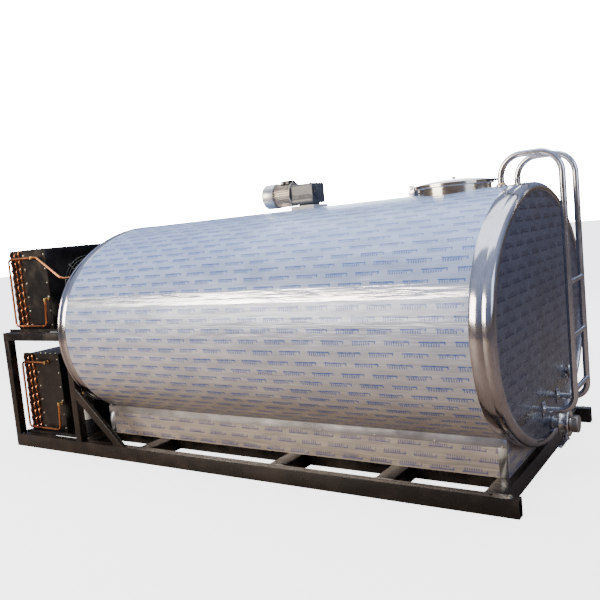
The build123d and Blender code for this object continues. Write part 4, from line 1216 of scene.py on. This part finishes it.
for level in ("upper", "lower"):
    for side in ("near", "far"):
        node = f"{level}_{side}_fan"
        eased(node, f"{node}_wheel", "fan_plastic", 0.0008, 1)

# %% [markdown]
# A hermetic compressor is two deep-drawn halves welded round the middle, standing
# on rubber feet, with a small cover over its terminals. A receiver is a plain can
# with a domed top and a valve. Both are lathe work.

# %% Compressors and receivers
def domed(flat, shoulder, z, drop, first=1):
    """Outline of a domed end, from its middle out to the full radius."""
    turns = [step / 8 * pi / 2 for step in range(first, 9)]
    return [(0.0, z)] + [(flat + shoulder * sin(t), z - drop * (1 - cos(t))) for t in turns]


can_x, can_y = middle_of(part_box("compressors"))[:2]
can_height = 0.340
foot = [
    (0.0, 0.0), (0.011, 0.0), (0.012, 0.004), (0.009, 0.010), (0.012, 0.016),
    (0.012, 0.026), (0.0, 0.026),
]
bm = bmesh.new()
feet = bmesh.new()
for base in levels:
    outline = domed(0.040, 0.060, can_height, 0.038)
    outline += [(0.100, 0.159), (0.1035, 0.157), (0.1035, 0.151), (0.100, 0.149)]
    outline += domed(0.040, 0.060, 0.030, -0.038, first=0)[::-1]
    turned(bm, outline, (can_x, can_y, base), "Z", 64)
    low = Vector((can_x, can_y, base))
    slab(bm, low + Vector((-0.030, -0.128, 0.185)), low + Vector((0.030, -0.092, 0.262)), 0.006, 3)
    slab(bm, low + Vector((-0.082, -0.082, 0.026)), low + Vector((0.082, 0.082, 0.031)), 0.002, 2)
    for i in (-1, 1):
        for j in (-1, 1):
            turned(feet, foot, (can_x + i * 0.065, can_y + j * 0.065, base), "Z", 20)
piece("hermetic_cans", bm, "can_enamel", "root", ("compressors",))
piece("can_feet", feet, "seal_rubber", "root", ("compressors",))

receiver_x, receiver_y = middle_of(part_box("liquid_receivers"))[:2]
can = domed(0.018, 0.042, 0.318, 0.030) + [(0.060, 0.004), (0.057, 0.0), (0.0, 0.0)]
band = [(0.0602, 0.115), (0.0606, 0.115), (0.0606, 0.215), (0.0602, 0.215)]
valve = [
    (0.0, 0.330), (0.006, 0.330), (0.008, 0.328), (0.008, 0.320), (0.011, 0.319),
    (0.011, 0.314), (0.0, 0.314),
]
bm = bmesh.new()
labels = bmesh.new()
caps = bmesh.new()
for base in levels:
    spot = (receiver_x, receiver_y, base)
    turned(bm, can, spot, "Z", 56)
    turned(labels, band, spot, "Z", 56, closed=True)
    turned(caps, valve, spot, "Z", 12)
piece("receiver_cans", bm, "can_enamel", "root", ("liquid_receivers",))
piece("receiver_bands", labels, "label_white")
piece("receiver_valves", caps, "brass")

# %% [markdown]
# ## Copper pipework
#
# A bright copper loop runs in front of each unit's end: along the top, down, and
# back along the bottom to a riser. Another pipe falls from the upper unit behind
# the tank's end to its compressor. Bends are spun at the pipe's own radius, and
# brass nuts sit where a pipe meets its stub.

# %% Copper
pipe_y = -coil_high.y - 0.036
header_x = coil_low.x + 0.026
right = shroud_high.x - 0.040
bm = bmesh.new()
nuts = bmesh.new()
union_nut = [(0.0, -0.006), (0.012, -0.006), (0.0145, -0.004), (0.0145, 0.006), (0.012, 0.008), (0.0, 0.008)]
elbow = [(0.0, -0.012), (0.011, -0.012), (0.0125, -0.010), (0.0125, 0.010), (0.011, 0.012), (0.0, 0.012)]
flare_nut = [(0.0, 0.0), (0.012, 0.0), (0.0135, 0.002), (0.0135, 0.014), (0.010, 0.018), (0.0, 0.018)]
start_x = right - 0.090
end_x = right + 0.018
for base in levels:
    top = base + coil_height - 0.065
    low = base + 0.040
    end_z = low + 0.210
    loop = [(start_x, top), (header_x, top), (header_x - 0.008, low), (right, low), (end_x, end_z)]
    run_pipe(bm, [(x, pipe_y, z) for x, z in loop], [0.034, 0.026, 0.040], 0.009, 24, 10)
    for x, z in ((start_x, top), (end_x, end_z)):
        run_pipe(bm, [(x, pipe_y - 0.0005, z), (x, -coil_high.y + 0.002, z)], [], 0.010, 20)
        turned(nuts, union_nut, (x, -coil_high.y - 0.010, z), "Y", 6)
        turned(nuts, elbow, (x, pipe_y, z), "Z", 24)
upper = levels[1]
suction_x = -1.420
top = upper + coil_height - 0.065
low = top - 0.180
suction = [
    (start_x, pipe_y, top), (start_x + 0.060, pipe_y, top), (suction_x, pipe_y, low),
    (suction_x, can_y, low), (suction_x, can_y, upper + can_height),
]
run_pipe(bm, suction, [0.050, 0.040, 0.040], 0.008, 20, 10)
turned(nuts, flare_nut, (suction_x, can_y, upper + can_height - 0.001), "Z", 6)
piece("copper_loops", bm, "copper_tube", "root", ("copper_pipes",))
piece("copper_nuts", nuts, "brass")

# %% [markdown]
# ## Control box
#
# On the far side a grey enamelled box hangs on the rack, with a hinged door. A red
# lamp and two black knobs, with no lettering, stand in rings on the door.

# %% Control box
eased("control_box", "control_case", "grey_enamel", 0.0010, 2)
eased("control_door", "control_lid_door", "grey_enamel", 0.0016, 2)
case_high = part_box("control_box")[1]
panel_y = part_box("control_door")[1].y - 0.0162
button = [(0.0, 0.010), (0.006, 0.009), (0.009, 0.005), (0.0095, 0.0), (0.0, 0.0)]
ring = [(0.0098, 0.0), (0.0135, 0.0), (0.0135, 0.003), (0.0120, 0.0045), (0.0098, 0.0045)]
bm = bmesh.new()
red = bmesh.new()
for step, target in enumerate((red, bm, bm)):
    spot = (case_high.x - 0.26 + step * 0.06, panel_y, case_high.z - 0.09)
    turned(target, button, spot, "Y", 28)
    turned(bm, ring, spot, "Y", 28, closed=True)
piece("door_switch_and_rings", bm, "black_plastic", "control_door")
piece("door_lamp", red, "red_plastic", "control_door")

# %% [markdown]
# ## Inside parts
#
# Open the lid and the vessel shows, with the agitator's shaft and blades. These
# CAD shapes stay as they are; each gets the finish of what it is made from.

# %% Inside finishes
inside = {
    "insulation": "foam",
    "inner_vessel": "vessel_steel",
    "evaporator_jacket": "vessel_steel",
    "motor_rotor": "shaft_steel",
    "motor_fan": "fan_plastic",
    "worm_wheel": "bronze",
    "agitator_shaft": "shaft_steel",
    "agitator_blades": "vessel_steel",
    "shaft_seal": "seal_rubber",
}
for node, finish in inside.items():
    mesh = frame["nodes"][node].data
    mesh.materials.clear()
    mesh.materials.append(finishes[finish])
shown = [n for n, o in frame["nodes"].items() if not o.hide_render]
print("CAD nodes still shown:", sorted(shown))
